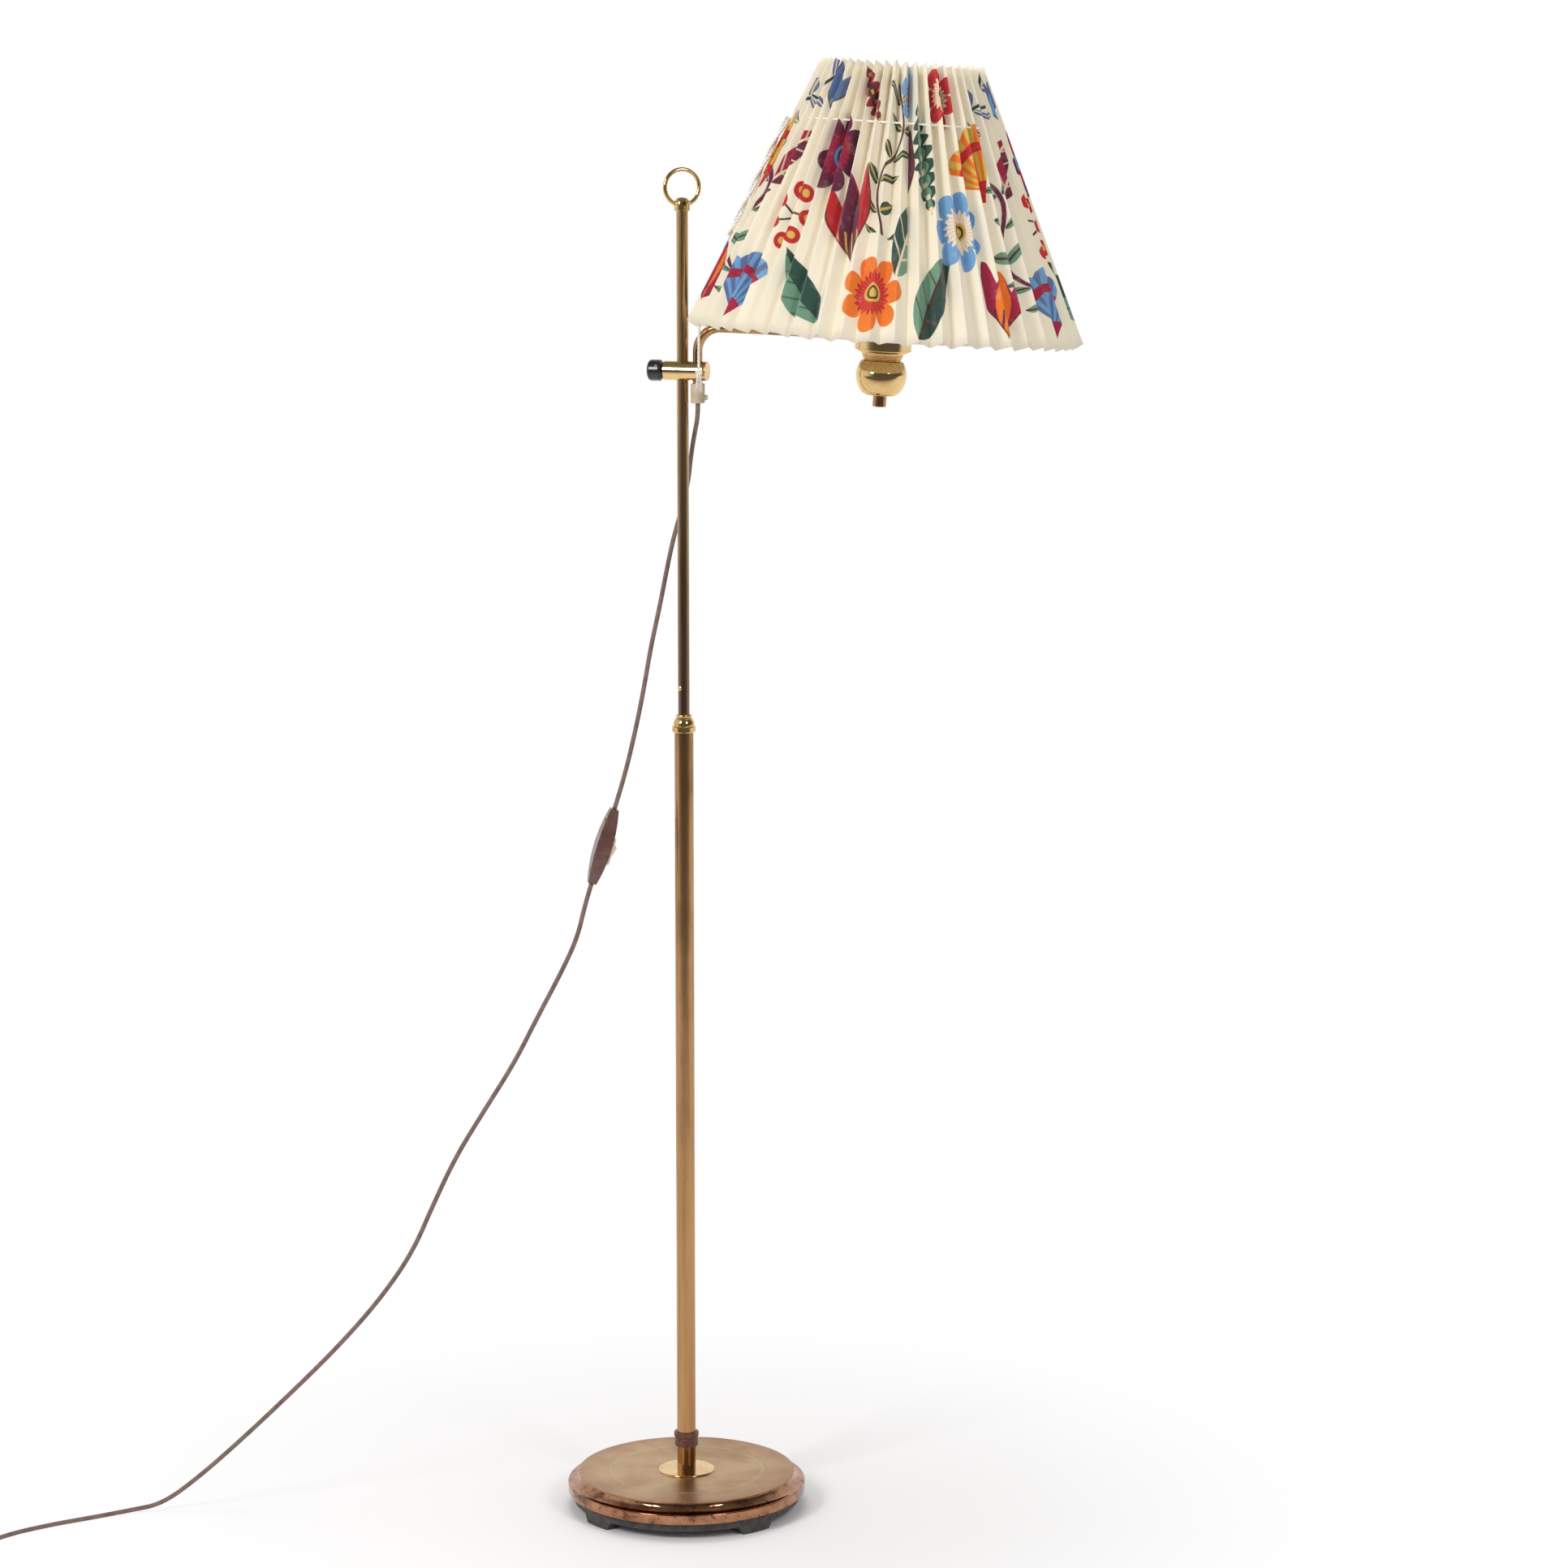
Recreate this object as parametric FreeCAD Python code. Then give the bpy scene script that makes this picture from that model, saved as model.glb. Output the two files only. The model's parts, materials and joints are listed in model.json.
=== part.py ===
import FreeCAD, Part
import math
import os

# Bridge floor lamp: round foot, two-part brass column, sliding side arm, pleated shade.
# Millimetres. The origin is the middle of the foot on the floor, +Z is up, and the arm
# leaves the column along +X.

V = FreeCAD.Vector
UP = V(0, 0, 1)

# ---- fits -------------------------------------------------------------------
running_gap = 0.05        # radial play of a piece that turns or slides
loose_gap = 0.3           # between a soft piece and what carries it
slip_gap = 0.1            # round a piece that only passes through

# ---- foot -------------------------------------------------------------------
foot_ring_radius = 121.0
foot_ring_width = 25.0
foot_ring_height = 18.0
foot_height = 9.0         # the four feet stand below the ring's body
foot_count = 4
foot_bottom_width = 34.0
foot_top_width = 44.0
foot_azimuth = -33.5
shell_radius = 127.0
shell_band_height = 14.0
shell_wall = 1.2
shell_edge_radius = 1.5
cove_top_radius = 113.0
cove_height = 5.1
cove_hollow = 1.7
weight_gap = 0.3
top_plate_radius = 116.0
top_plate_thickness = 1.4
flange_radius = 30.0
flange_thickness = 1.5

# ---- column -----------------------------------------------------------------
column_radius = 10.0
column_wall = 1.0
column_top = 838.6
plug_length = 22.0
stud_radius = 5.0
tie_washer_radius = 15.0
tie_washer_thickness = 2.0
tie_nut_across_flats = 17.0
tie_nut_height = 8.0
stud_tail = 1.5
collar_flange_radius = 12.5
collar_flange_height = 6.3
collar_skirt_top_radius = 8.4
collar_skirt_height = 8.6
collar_bead_radius = 8.5
collar_bead_height = 4.0
collar_spigot_length = 14.0
clip_bottom = 66.0
clip_height = 15.0
clip_wall = 2.3
clip_rim = 0.85
clip_rim_height = 4.5
clip_tab_width = 8.0
clip_tab_height = 6.0
clip_tab_depth = 2.6
clip_azimuth = -68.0

# ---- mast -------------------------------------------------------------------
mast_radius = 6.0
mast_wall = 1.0
mast_bottom = 771.0
mast_top = 1379.0
bush_length = 14.0
cap_radius = 8.3
cap_skirt_height = 7.5
cap_height = 14.0
cap_spigot_length = 12.0
ring_outer_radius = 20.5
ring_wire_radius = 2.15
ring_height_above_cap_foot = 24.0
ring_azimuth = -53.5
button_height = 885.0
button_radius = 2.5
button_proud = 1.5
button_azimuth = -113.5
button_shoulder_radius = 3.4
button_shoulder_thickness = 0.8
button_leaf_width = 4.0
button_leaf_thickness = 0.5
button_leaf_length = 26.0

# ---- clamp ------------------------------------------------------------------
clamp_height = 1215.3
clamp_radius = 10.0
clamp_left = 20.5
clamp_right = 27.0
clamp_chamfer = 1.6
leg_offset = 16.4
knob_radius = 11.0
knob_length = 15.0
knob_bevel = 2.6
knob_gap = 1.0
knob_screw_radius = 3.0
knob_screw_grip = 11.0
knob_screw_tip_gap = 0.1
grub_radius = 1.6
grub_seat = 3.4
grub_below_surface = 0.3
grub_azimuth = 28.0            # above level, on the near side

# ---- arm --------------------------------------------------------------------
arm_radius = 5.0
arm_wall = 1.0
arm_leg_below_clamp = 21.3
arm_bend_radius = 25.0
arm_bend_above_clamp = 19.9
arm_bend_extra_turn = 1.19     # degrees past level at the bend's end
head_lean = 3.8                # degrees, and the slope of the arm's far end
head_reach = 216.0
arm_end_from_axis = 6.0
grip_radius = 7.3
grip_below_leg = 11.7
grip_height = 20.1
grip_edge = 0.8
grip_screw_radius = 2.65
grip_screw_proud = 3.0
grip_screw_shank_radius = 1.5
grip_screw_height = 5.6
grip_screw_azimuth = 17.5

# ---- head, along its own axis from the arm's middle --------------------------
hub_radius = 11.0
hub_half_height = 11.0
rod_radius = 5.0
nipple_bore = 3.6
cup_radius = 29.0
cup_bottom = -12.5
cup_rim = 15.0
cup_wall = 1.0
cup_bead = 0.8
step_outer_radius = 26.0
step_inner_radius = 21.5
step_bottom = -16.5
neck_radius = 18.3
neck_bottom = -23.0
neck_ring = 1.1
neck_ring_count = 3
ball_radius = 26.0
ball_middle = -38.0
ball_bottom = -56.3
ball_wall = 1.2
foot_disc_radius = 15.8
foot_disc_thickness = 1.5
stem_nut_radius = 7.0
stem_nut_length = 12.0
stem_nut_bore_depth = 5.0

# ---- lampholder and bulb ------------------------------------------------------
holder_cap_bottom = 13.0
holder_cap_height = 14.0
holder_cap_radius = 18.0
holder_body_radius = 19.6
holder_body_height = 33.0
holder_wall = 5.2
holder_floor = 5.0
clamp_ring_radius = 27.0
clamp_ring_thickness = 4.0
clamp_ring_height = 22.0       # above the holder body's foot
bulb_cap_radius = 13.1
bulb_cap_height = 26.0
bulb_radius = 30.0
bulb_length = 110.0
bulb_neck_radius = 14.0
bulb_glass_wall = 1.2

# ---- shade, along the head's axis ---------------------------------------------
pleat_count = 50
shade_foot = 3.0
shade_height = 273.6
ridge_radius_bottom = 201.7
ridge_radius_top = 81.9
pleat_depth_bottom = 9.3
pleat_depth_top = 15.0
shade_cloth = 0.8
shade_bands = 4                # flat facets up each side of a pleat, which twists
shade_valley_azimuth = 184.5
carrier_wire_radius = 1.5
carrier_above_foot = 8.0
carrier_ring_outer = 24.0
carrier_ring_thickness = 2.0
carrier_arm_count = 3
carrier_arm_azimuth = 0.0
top_wire_radius = 1.2
top_wire_below_rim = 12.0

# ---- drawstring ----------------------------------------------------------------
string_radius = 1.5
string_down_slope = 67.0       # from the shade's top edge, along the cloth
string_play = 0.1              # between the loop and the tail that leaves it
tail_knot_height = 1214.0
tail_knot_radius = 3.6
tail_tuft_length = 16.0
tail_bend_above_foot = 4.0
tail_strand_gap = 0.4
bight_ridge = 1                # pleats on from the first valley
bight_share = 0.32             # of the cloth, where the doubled strand ends
bight_off_ridge = 2.4
bight_strand_gap = 0.6

# ---- mains cord ------------------------------------------------------------------
cord_radius = 2.4
switch_bottom = V(-93.1, -29.3, 677.9)
switch_top = V(-70.5, -20.1, 756.3)
cord_lead = 16.0               # straight run out of the switch
upper_route = [
    V(16.4, 0.0, 1168.0),
    V(12.6, 0.4, 1151.0),
    V(6.5, 5.6, 1126.0),
    V(0.9, 13.6, 1100.0),
    V(-6.9, 17.0, 1071.0),
    V(-15.8, 15.3, 1040.8),
    V(-21.7, 10.9, 1008.8),
    V(-28.1, 5.8, 969.0),
    V(-36.2, 0.1, 926.7),
    V(-43.0, -4.1, 881.6),
    V(-50.6, -8.9, 839.0),
    V(-58.6, -14.6, 800.0),
]
lower_route = [
    V(-108.0, -34.2, 618.0),
    V(-127.0, -41.2, 576.0),
    V(-148.0, -49.1, 534.0),
    V(-171.0, -58.3, 485.0),
    V(-200.0, -69.5, 436.0),
    V(-229.4, -80.8, 385.0),
    V(-252.2, -90.0, 333.0),
    V(-273.6, -99.0, 280.0),
    V(-307.5, -112.8, 228.0),
    V(-349.9, -129.3, 177.0),
    V(-399.3, -149.0, 125.0),
    V(-446.0, -165.6, 78.0),
    V(-488.5, -180.4, 38.0),
    V(-527.0, -191.0, 7.5),
    V(-557.0, -207.0, 2.5),
    V(-583.0, -239.0, 2.5),
    V(-617.0, -277.0, 2.5),
    V(-645.0, -319.0, 2.5),
    V(-657.5, -362.5, 2.5),
]
coil_centre = V(-684.7, -402.5, 2.5)
coil_axis_azimuth = 17.5
coil_outer_radius = 38.0
coil_pitch = 6.1
coil_half_turns = 6            # per layer
coil_lead = 2.0 * cord_radius
relief_length = 26.0
relief_tip_radius = 3.4
relief_root_radius = 5.0
plug_body_length = 36.0
plug_body_width = 35.0
plug_nose_width = 26.0
floor_play = 0.1
plug_pin_radius = 2.0
plug_pin_length = 19.0
plug_pin_spacing = 18.6
plug_run = 30.0                # straight cord between the coil and the plug

# ---- in-line switch, along its own axis -------------------------------------------
switch_end_half = 4.3
switch_belly = 8.2
switch_end_half_width = 4.6
switch_half_width = 10.0
switch_wall = 1.6
switch_split = -3.8
switch_turn = 10.0             # degrees that the rocker side faces away from the viewer
view_azimuth = 17.5
bezel_length = 28.6
bezel_width = 12.0
bezel_proud = 2.6
bezel_offset = -2.8
rocker_half_length = 8.2
rocker_half_width = 3.85
rocker_opening_half_length = 9.1
rocker_opening_half_width = 4.0
rocker_pin_radius = 1.0
rocker_pin_half_length = 5.4
rocker_peak = 3.3
switch_screw_radius = 1.4
switch_screw_head_radius = 2.5
switch_screw_place = 27.0


# ---- helpers ------------------------------------------------------------------
def direction(azimuth):
    return V(math.cos(math.radians(azimuth)), math.sin(math.radians(azimuth)), 0)


def cylinder(radius, height, base=V(0, 0, 0), axis=UP):
    return Part.makeCylinder(radius, height, base, axis)


def tube(outer, inner, height, base=V(0, 0, 0), axis=UP):
    return cylinder(outer, height, base, axis).cut(cylinder(inner, height, base, axis))


def torus(major, minor, centre=V(0, 0, 0), axis=UP):
    return Part.makeTorus(major, minor, centre, axis)


def outline(steps):
    """A closed wire in the XZ plane. A step (r, z) is a corner; a step of two pairs is
    an arc through the first to the second."""
    def place(pair):
        return V(pair[0], 0, pair[1])

    edges = []
    here = place(steps[0])
    for step in list(steps[1:]) + [steps[0]]:
        if isinstance(step[0], tuple):
            there = place(step[1])
            edges.append(Part.Arc(here, place(step[0]), there).toShape())
        else:
            there = place(step)
            if (there - here).Length > 1e-9:
                edges.append(Part.LineSegment(here, there).toShape())
        here = there
    return Part.Wire(edges)


def bulge(start, end, rise):
    """An arc step from start to end that stands rise to the left of its chord."""
    run = (end[0] - start[0], end[1] - start[1])
    length = math.hypot(run[0], run[1])
    middle = (0.5 * (start[0] + end[0]) - rise * run[1] / length,
              0.5 * (start[1] + end[1]) + rise * run[0] / length)
    return (middle, end)


def turned(steps):
    """A turned piece about Z from its half section."""
    return Part.Face(outline(steps)).revolve(V(0, 0, 0), UP, 360)


def spin(shape, angle, axis=UP, centre=V(0, 0, 0)):
    copy = shape.copy()
    copy.rotate(centre, axis, angle)
    return copy


def around(shape, count):
    return [spin(shape, 360.0 * k / count) for k in range(count)]


def fuse_all(shapes):
    return shapes[0].multiFuse(shapes[1:]).removeSplitter()


def save(name, shape):
    shape.exportStep("parts/" + name + ".step")


def prism(points, direction_vector):
    return Part.Face(Part.makePolygon(points + [points[0]])).extrude(direction_vector)


def rounded_path(points, name=None, share=0.45):
    """Straight runs joined by tangent arcs."""
    edges = []
    here = points[0]
    radii = []
    for before, corner, after in zip(points, points[1:], points[2:]):
        way_in = (corner - before).normalize()
        way_out = (after - corner).normalize()
        half_turn = way_in.getAngle(way_out) / 2
        reach = share * min((corner - before).Length, (after - corner).Length)
        radii.append(reach / math.tan(half_turn))
        start = corner - way_in * reach
        end = corner + way_out * reach
        bisector = (way_out - way_in).normalize()
        middle = corner + bisector * (reach * math.tan(half_turn / 2))
        edges.append(Part.LineSegment(here, start).toShape())
        edges.append(Part.Arc(start, middle, end).toShape())
        here = end
    edges.append(Part.LineSegment(here, points[-1]).toShape())
    if name:
        print(name, "radii", [round(r, 1) for r in radii])
    return Part.Wire(edges)


def swept(path, radius, start_direction):
    start = path.OrderedVertexes[0].Point
    profile = Part.Wire([Part.Circle(start, start_direction, radius).toShape()])
    shell = Part.BRepOffsetAPI.MakePipeShell(path)
    shell.add(profile)
    shell.build()
    shell.makeSolid()
    return shell.shape()


def report_tube(name, shape, path, radius):
    nominal = math.pi * radius * radius * path.Length
    print(name, "length", round(path.Length, 1), "volume ratio", round(shape.Volume / nominal, 5))


# ---- levels that several pieces share --------------------------------------------
weight_bottom = foot_ring_height
band_top = weight_bottom + shell_band_height
shell_top = band_top + cove_height
plate_top = shell_top + top_plate_thickness
flange_top = plate_top + flange_thickness
column_bore = column_radius - column_wall
mast_bore = mast_radius - mast_wall
arm_bore = arm_radius - arm_wall
collar_top = column_top + collar_flange_height + collar_skirt_height + collar_bead_height
cap_foot = mast_top
arm_bend_centre_height = clamp_height + arm_bend_above_clamp
arm_leg_bottom = clamp_height - arm_leg_below_clamp
grip_bottom = arm_leg_bottom - grip_below_leg
ring_centre = V(0, 0, cap_foot + ring_height_above_cap_foot)
ring_line_radius = ring_outer_radius - ring_wire_radius


# ---- foot --------------------------------------------------------------------
def foot_ring():
    inner = foot_ring_radius - foot_ring_width
    body = tube(foot_ring_radius, inner, foot_ring_height - foot_height, V(0, 0, foot_height))
    band = tube(foot_ring_radius, inner, foot_height)
    block = prism([V(0, -foot_bottom_width / 2, 0), V(0, foot_bottom_width / 2, 0),
                   V(0, foot_top_width / 2, foot_height), V(0, -foot_top_width / 2, foot_height)],
                  V(foot_ring_radius + 1, 0, 0))
    foot = spin(block.common(band), foot_azimuth)
    return fuse_all([body] + around(foot, foot_count))


def base_shell():
    """Spun band, rounded shoulder, hollow cove and flat top."""
    r, t, e = shell_radius, shell_wall, shell_edge_radius
    shoulder = band_top - e
    corner = e * math.sqrt(0.5)
    cove_edge = (r - e - 1.0, band_top)
    cove_end = (cove_top_radius, shell_top)
    inner_edge = (cove_edge[0] - 0.4 * t, band_top - t)
    inner_end = (cove_top_radius - t, shell_top - t)
    hole = stud_radius + slip_gap
    return turned([
        (r, weight_bottom), (r, shoulder),
        ((r - e + corner, shoulder + corner), (r - e, band_top)),
        cove_edge, bulge(cove_edge, cove_end, cove_hollow),
        (hole, shell_top), (hole, shell_top - t),
        inner_end, bulge(inner_end, inner_edge, -cove_hollow),
        (r - t, band_top - t), (r - t, weight_bottom)])


def base_weight():
    inner = shell_radius - shell_wall - weight_gap
    step = cove_top_radius - shell_wall - weight_gap
    low = band_top - shell_wall - weight_gap
    high = shell_top - shell_wall
    hole = stud_radius + slip_gap
    return turned([
        (hole, weight_bottom), (inner, weight_bottom), (inner, low - 2.0), (inner - 3.0, low),
        (step, low), (step - 2.0, high), (hole, high)])


def base_top_plate():
    """Flat disc with a small turned-down lip that stands past the cove."""
    r, t = top_plate_radius, top_plate_thickness
    hole = stud_radius + slip_gap
    return turned([
        (hole, shell_top), (r - 0.7, shell_top), ((r - 0.1, shell_top + 0.4 * t), (r - 0.4, plate_top - 0.2)),
        ((r - 0.8, plate_top), (r - 1.3, plate_top)), (hole, plate_top)])


def base_flange():
    r, t = flange_radius, flange_thickness
    hole = column_radius + running_gap
    return turned([
        (hole, plate_top), (r, plate_top), (r, plate_top + 0.5 * t),
        ((r - 0.4, plate_top + 0.9 * t), (r - 1.2, flange_top)), (hole, flange_top)])


def column_foot_plug():
    """Plug in the column's foot with the long stud that ties the foot together."""
    plug = cylinder(column_bore, plug_length, V(0, 0, plate_top))
    tail = weight_bottom - tie_washer_thickness - tie_nut_height - stud_tail
    stud = cylinder(stud_radius, plate_top - tail, V(0, 0, tail))
    return fuse_all([plug, stud])


def tie_washer():
    return tube(tie_washer_radius, stud_radius + slip_gap, tie_washer_thickness,
                V(0, 0, weight_bottom - tie_washer_thickness))


def hexagon(across_flats, height, base):
    corner = across_flats / math.sqrt(3)
    points = [base + direction(60 * k) * corner for k in range(6)]
    return prism(points, V(0, 0, height))


def tie_nut():
    bottom = weight_bottom - tie_washer_thickness - tie_nut_height
    body = hexagon(tie_nut_across_flats, tie_nut_height, V(0, 0, bottom))
    dome = Part.makeCone(tie_nut_across_flats / 2, tie_nut_across_flats / 2 + 6.0, 6.0 / math.sqrt(3),
                         V(0, 0, bottom))
    body = body.common(dome.fuse(cylinder(2 * tie_nut_across_flats, tie_nut_height,
                                          V(0, 0, bottom + 6.0 / math.sqrt(3)))))
    return body.cut(cylinder(stud_radius, tie_nut_height, V(0, 0, bottom)))


# ---- column --------------------------------------------------------------------
def lower_column():
    return tube(column_radius, column_bore, column_top - plate_top, V(0, 0, plate_top))


def column_collar():
    """Reducer: flange, hollow skirt and top bead over a spigot in the column."""
    bore = mast_radius + running_gap
    z0 = column_top
    z1 = z0 + collar_flange_height
    z2 = z1 + collar_skirt_height
    f, s, b = collar_flange_radius, collar_skirt_top_radius, collar_bead_radius
    rim = 0.8
    skirt_foot = (f - 2.0 * rim, z1)
    skirt_top = (s, z2)
    return turned([
        (bore, z0 - collar_spigot_length), (column_bore, z0 - collar_spigot_length), (column_bore, z0),
        (f - rim, z0), (f, z0 + rim), (f, z1 - rim), (f - rim, z1),
        skirt_foot, bulge(skirt_foot, skirt_top, -0.9), (s - 0.9, z2),
        bulge((s - 0.9, z2), (b - 1.2, collar_top), -1.0), (bore, collar_top)])


def cord_clip():
    """Snap ring with a wider rim on top and a slotted tab, split at the back."""
    inner = column_radius + running_gap
    outer = inner + clip_wall
    top = clip_bottom + clip_height
    rim = outer + clip_rim
    body = turned([
        (inner, clip_bottom), (outer, clip_bottom), (outer, top - clip_rim_height - clip_rim),
        (rim, top - clip_rim_height), (rim, top - 0.6), (rim - 0.6, top), (inner, top)])
    tab_base = V(outer - 1.0, -clip_tab_width / 2, clip_bottom)
    tab = Part.makeBox(clip_tab_depth, clip_tab_width, clip_tab_height, tab_base)
    slot = Part.makeBox(2 * clip_tab_depth, 0.5 * clip_tab_width, 0.35 * clip_tab_height,
                        V(outer + 0.4, -0.25 * clip_tab_width, clip_bottom + 0.3 * clip_tab_height))
    split = Part.makeBox(2 * outer, 1.6, 2 * clip_height, V(-3 * outer + inner, -0.8, clip_bottom - 1))
    split.translate(V(outer - inner, 0, 0))
    return spin(body.fuse(tab).cut(slot).cut(split).removeSplitter(), clip_azimuth)


# ---- mast ----------------------------------------------------------------------
button_out = direction(button_azimuth)
button_centre = V(0, 0, button_height)


def mast_tube():
    body = tube(mast_radius, mast_bore, mast_top - mast_bottom, V(0, 0, mast_bottom))
    return body.cut(cylinder(button_radius + running_gap, 2 * mast_radius, button_centre, button_out))


def mast_bush():
    return tube(column_bore - running_gap, mast_radius, bush_length, V(0, 0, mast_bottom))


def ring_axis():
    return direction(ring_azimuth + 90)


def carry_ring():
    return torus(ring_line_radius, ring_wire_radius, ring_centre, ring_axis())


def mast_cap():
    """Turned cap with a spigot in the mast, a domed top and a curved way for the ring."""
    z0, z1, z2 = cap_foot, cap_foot + cap_skirt_height, cap_foot + cap_height
    r = cap_radius
    body = turned([
        (0, z0 - cap_spigot_length), (mast_bore - 0.6, z0 - cap_spigot_length),
        (mast_bore, z0 - cap_spigot_length + 0.6), (mast_bore, z0),
        (r - 0.5, z0), (r, z0 + 0.5), (r, z1), bulge((r, z1), (0.12 * r, z2), -2.0), (0, z2)])
    return body.cut(torus(ring_line_radius, ring_wire_radius + 0.5 * slip_gap, ring_centre, ring_axis()))


def snap_button():
    """Domed pin and shoulder on a spring leaf that hangs inside the mast."""
    back = mast_bore - 0.3 - button_shoulder_thickness
    pin = cylinder(button_radius, mast_radius + button_proud - back, button_centre + button_out * back,
                   button_out)
    dome = Part.makeSphere(4.2, button_centre + button_out * (mast_radius + button_proud - 4.2))
    pin = pin.common(dome.fuse(cylinder(2 * button_radius, mast_radius, button_centre, button_out)))
    shoulder = cylinder(button_shoulder_radius, mast_radius, button_centre, button_out)
    shoulder = shoulder.common(cylinder(mast_bore - 0.3, 4 * button_radius,
                                        button_centre - UP * 2 * button_radius))
    shoulder = shoulder.cut(cylinder(2 * mast_radius, back, button_centre, button_out))
    side = V(-button_out.y, button_out.x, 0)
    leaf_out = back + button_leaf_thickness
    corner = button_centre + button_out * back - side * (button_leaf_width / 2) - UP * button_leaf_length
    leaf = prism([corner, corner + side * button_leaf_width,
                  corner + side * button_leaf_width + button_out * button_leaf_thickness,
                  corner + button_out * button_leaf_thickness], UP * (button_leaf_length + button_radius))
    foot_start = corner - button_out * (leaf_out - 0.6)
    foot = prism([foot_start, foot_start + side * button_leaf_width,
                  corner + side * button_leaf_width + button_out * button_leaf_thickness,
                  corner + button_out * button_leaf_thickness], UP * button_leaf_thickness)
    return fuse_all([pin, shoulder, leaf, foot])


# ---- clamp ---------------------------------------------------------------------
clamp_middle = V(0, 0, clamp_height)
along = V(1, 0, 0)


def clamp_barrel():
    body = cylinder(clamp_radius, clamp_left + clamp_right, clamp_middle - along * clamp_left, along)
    edges = [e for e in body.Edges if abs(e.BoundBox.XMin - e.BoundBox.XMax) < 1e-6]
    left = [e for e in edges if e.BoundBox.XMin < 0]
    right = [e for e in edges if e.BoundBox.XMin > 0]
    body = body.makeChamfer(clamp_chamfer, left)
    right = [e for e in body.Edges if abs(e.BoundBox.XMin - clamp_right) < 1e-6
             and abs(e.BoundBox.XMax - clamp_right) < 1e-6]
    body = body.makeChamfer(0.4, right)
    low = V(0, 0, clamp_height - 2 * clamp_radius)
    body = body.cut(cylinder(mast_radius + running_gap, 4 * clamp_radius, low))
    body = body.cut(cylinder(arm_radius, 4 * clamp_radius, low + along * leg_offset))
    return body.cut(cylinder(knob_screw_radius + running_gap, clamp_left, clamp_middle, -along))


knob_face = clamp_left + knob_gap


def clamp_knob():
    """Round knob with bevelled rims and a blind bore for its screw."""
    r, n, b = knob_radius, knob_length, knob_bevel
    body = turned([
        (0, 0), (r - b, 0), (r, b), (r, n - b - 0.6), ((r - 0.3 * b, n - 0.4 * b), (r - b, n)), (0, n)])
    body = body.cut(cylinder(knob_screw_radius, knob_screw_grip))
    body.rotate(V(0, 0, 0), V(0, 1, 0), -90)
    body.translate(clamp_middle - along * knob_face)
    return body.cut(grub_hole())


def grub_way():
    turn = math.radians(grub_azimuth)
    return V(0, -math.cos(turn), math.sin(turn))


def grub_hole():
    start = clamp_middle - along * (knob_face + 0.32 * knob_length) + grub_way() * grub_seat
    return cylinder(grub_radius, knob_radius, start, grub_way())


def knob_grub_screw():
    start = clamp_middle - along * (knob_face + 0.32 * knob_length) + grub_way() * grub_seat
    length = knob_radius - grub_below_surface - grub_seat
    body = cylinder(grub_radius, length, start, grub_way())
    slot_start = start + grub_way() * (length - 0.8)
    slot = Part.makeBox(0.5, 4 * grub_radius, 1.6, V(-0.25, -2 * grub_radius, 0))
    slot.Placement = FreeCAD.Placement(slot_start, FreeCAD.Rotation(UP, grub_way()))
    return body.cut(slot)


def clamp_screw():
    tip = mast_radius + knob_screw_tip_gap
    reach = knob_face + knob_screw_grip - tip
    body = cylinder(knob_screw_radius, reach, clamp_middle - along * tip, -along)
    cone = Part.makeCone(knob_screw_radius - 1.0, knob_screw_radius, 1.0, clamp_middle - along * tip, -along)
    rest = cylinder(knob_screw_radius, reach - 1.0, clamp_middle - along * (tip + 1.0), -along)
    return body.common(cone.fuse(rest)).removeSplitter()


# ---- arm ------------------------------------------------------------------------
def arm_frame():
    """The arm's far end: where its axis meets the head's axis, and the shallow arc to it."""
    start_turn = math.radians(arm_bend_extra_turn)
    end_turn = math.radians(head_lean)
    bend_end = V(leg_offset + arm_bend_radius * (1 + math.sin(start_turn)), 0,
                 arm_bend_centre_height + arm_bend_radius * math.cos(start_turn))
    sweep_radius = (head_reach - bend_end.x) / (math.sin(end_turn) - math.sin(start_turn))
    drop = sweep_radius * (math.cos(start_turn) - math.cos(end_turn))
    return bend_end, sweep_radius, start_turn, end_turn, V(head_reach, 0, bend_end.z - drop)


bend_end, sweep_radius, start_turn, end_turn, head_centre = arm_frame()
head_turn = FreeCAD.Rotation(V(0, 1, 0), head_lean)
head_place = FreeCAD.Placement(head_centre, head_turn)


def on_head(shape):
    copy = shape.copy()
    copy.Placement = head_place.multiply(copy.Placement)
    return copy


def head_point(r, azimuth, w):
    return head_place.multVec(direction(azimuth) * r + UP * w)


def sweep_point(turn):
    centre = bend_end - V(math.sin(start_turn), 0, math.cos(start_turn)) * sweep_radius
    return centre + V(math.sin(turn), 0, math.cos(turn)) * sweep_radius


def arm_path(foot, short_of_axis):
    bend_centre = V(leg_offset + arm_bend_radius, 0, arm_bend_centre_height)
    bend_start = V(leg_offset, 0, arm_bend_centre_height)
    half = math.radians(45 + arm_bend_extra_turn / 2)
    bend_middle = bend_centre + V(-math.cos(half), 0, math.sin(half)) * arm_bend_radius
    last_turn = end_turn - short_of_axis / sweep_radius
    return [
        Part.LineSegment(V(leg_offset, 0, foot), bend_start).toShape(),
        Part.Arc(bend_start, bend_middle, bend_end).toShape(),
        Part.Arc(bend_end, sweep_point(0.5 * (start_turn + last_turn)), sweep_point(last_turn)).toShape()]


def arm_tube():
    path = Part.Wire(arm_path(arm_leg_bottom, arm_end_from_axis))
    return swept(path, arm_radius, UP).cut(swept(path, arm_bore, UP))


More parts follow.
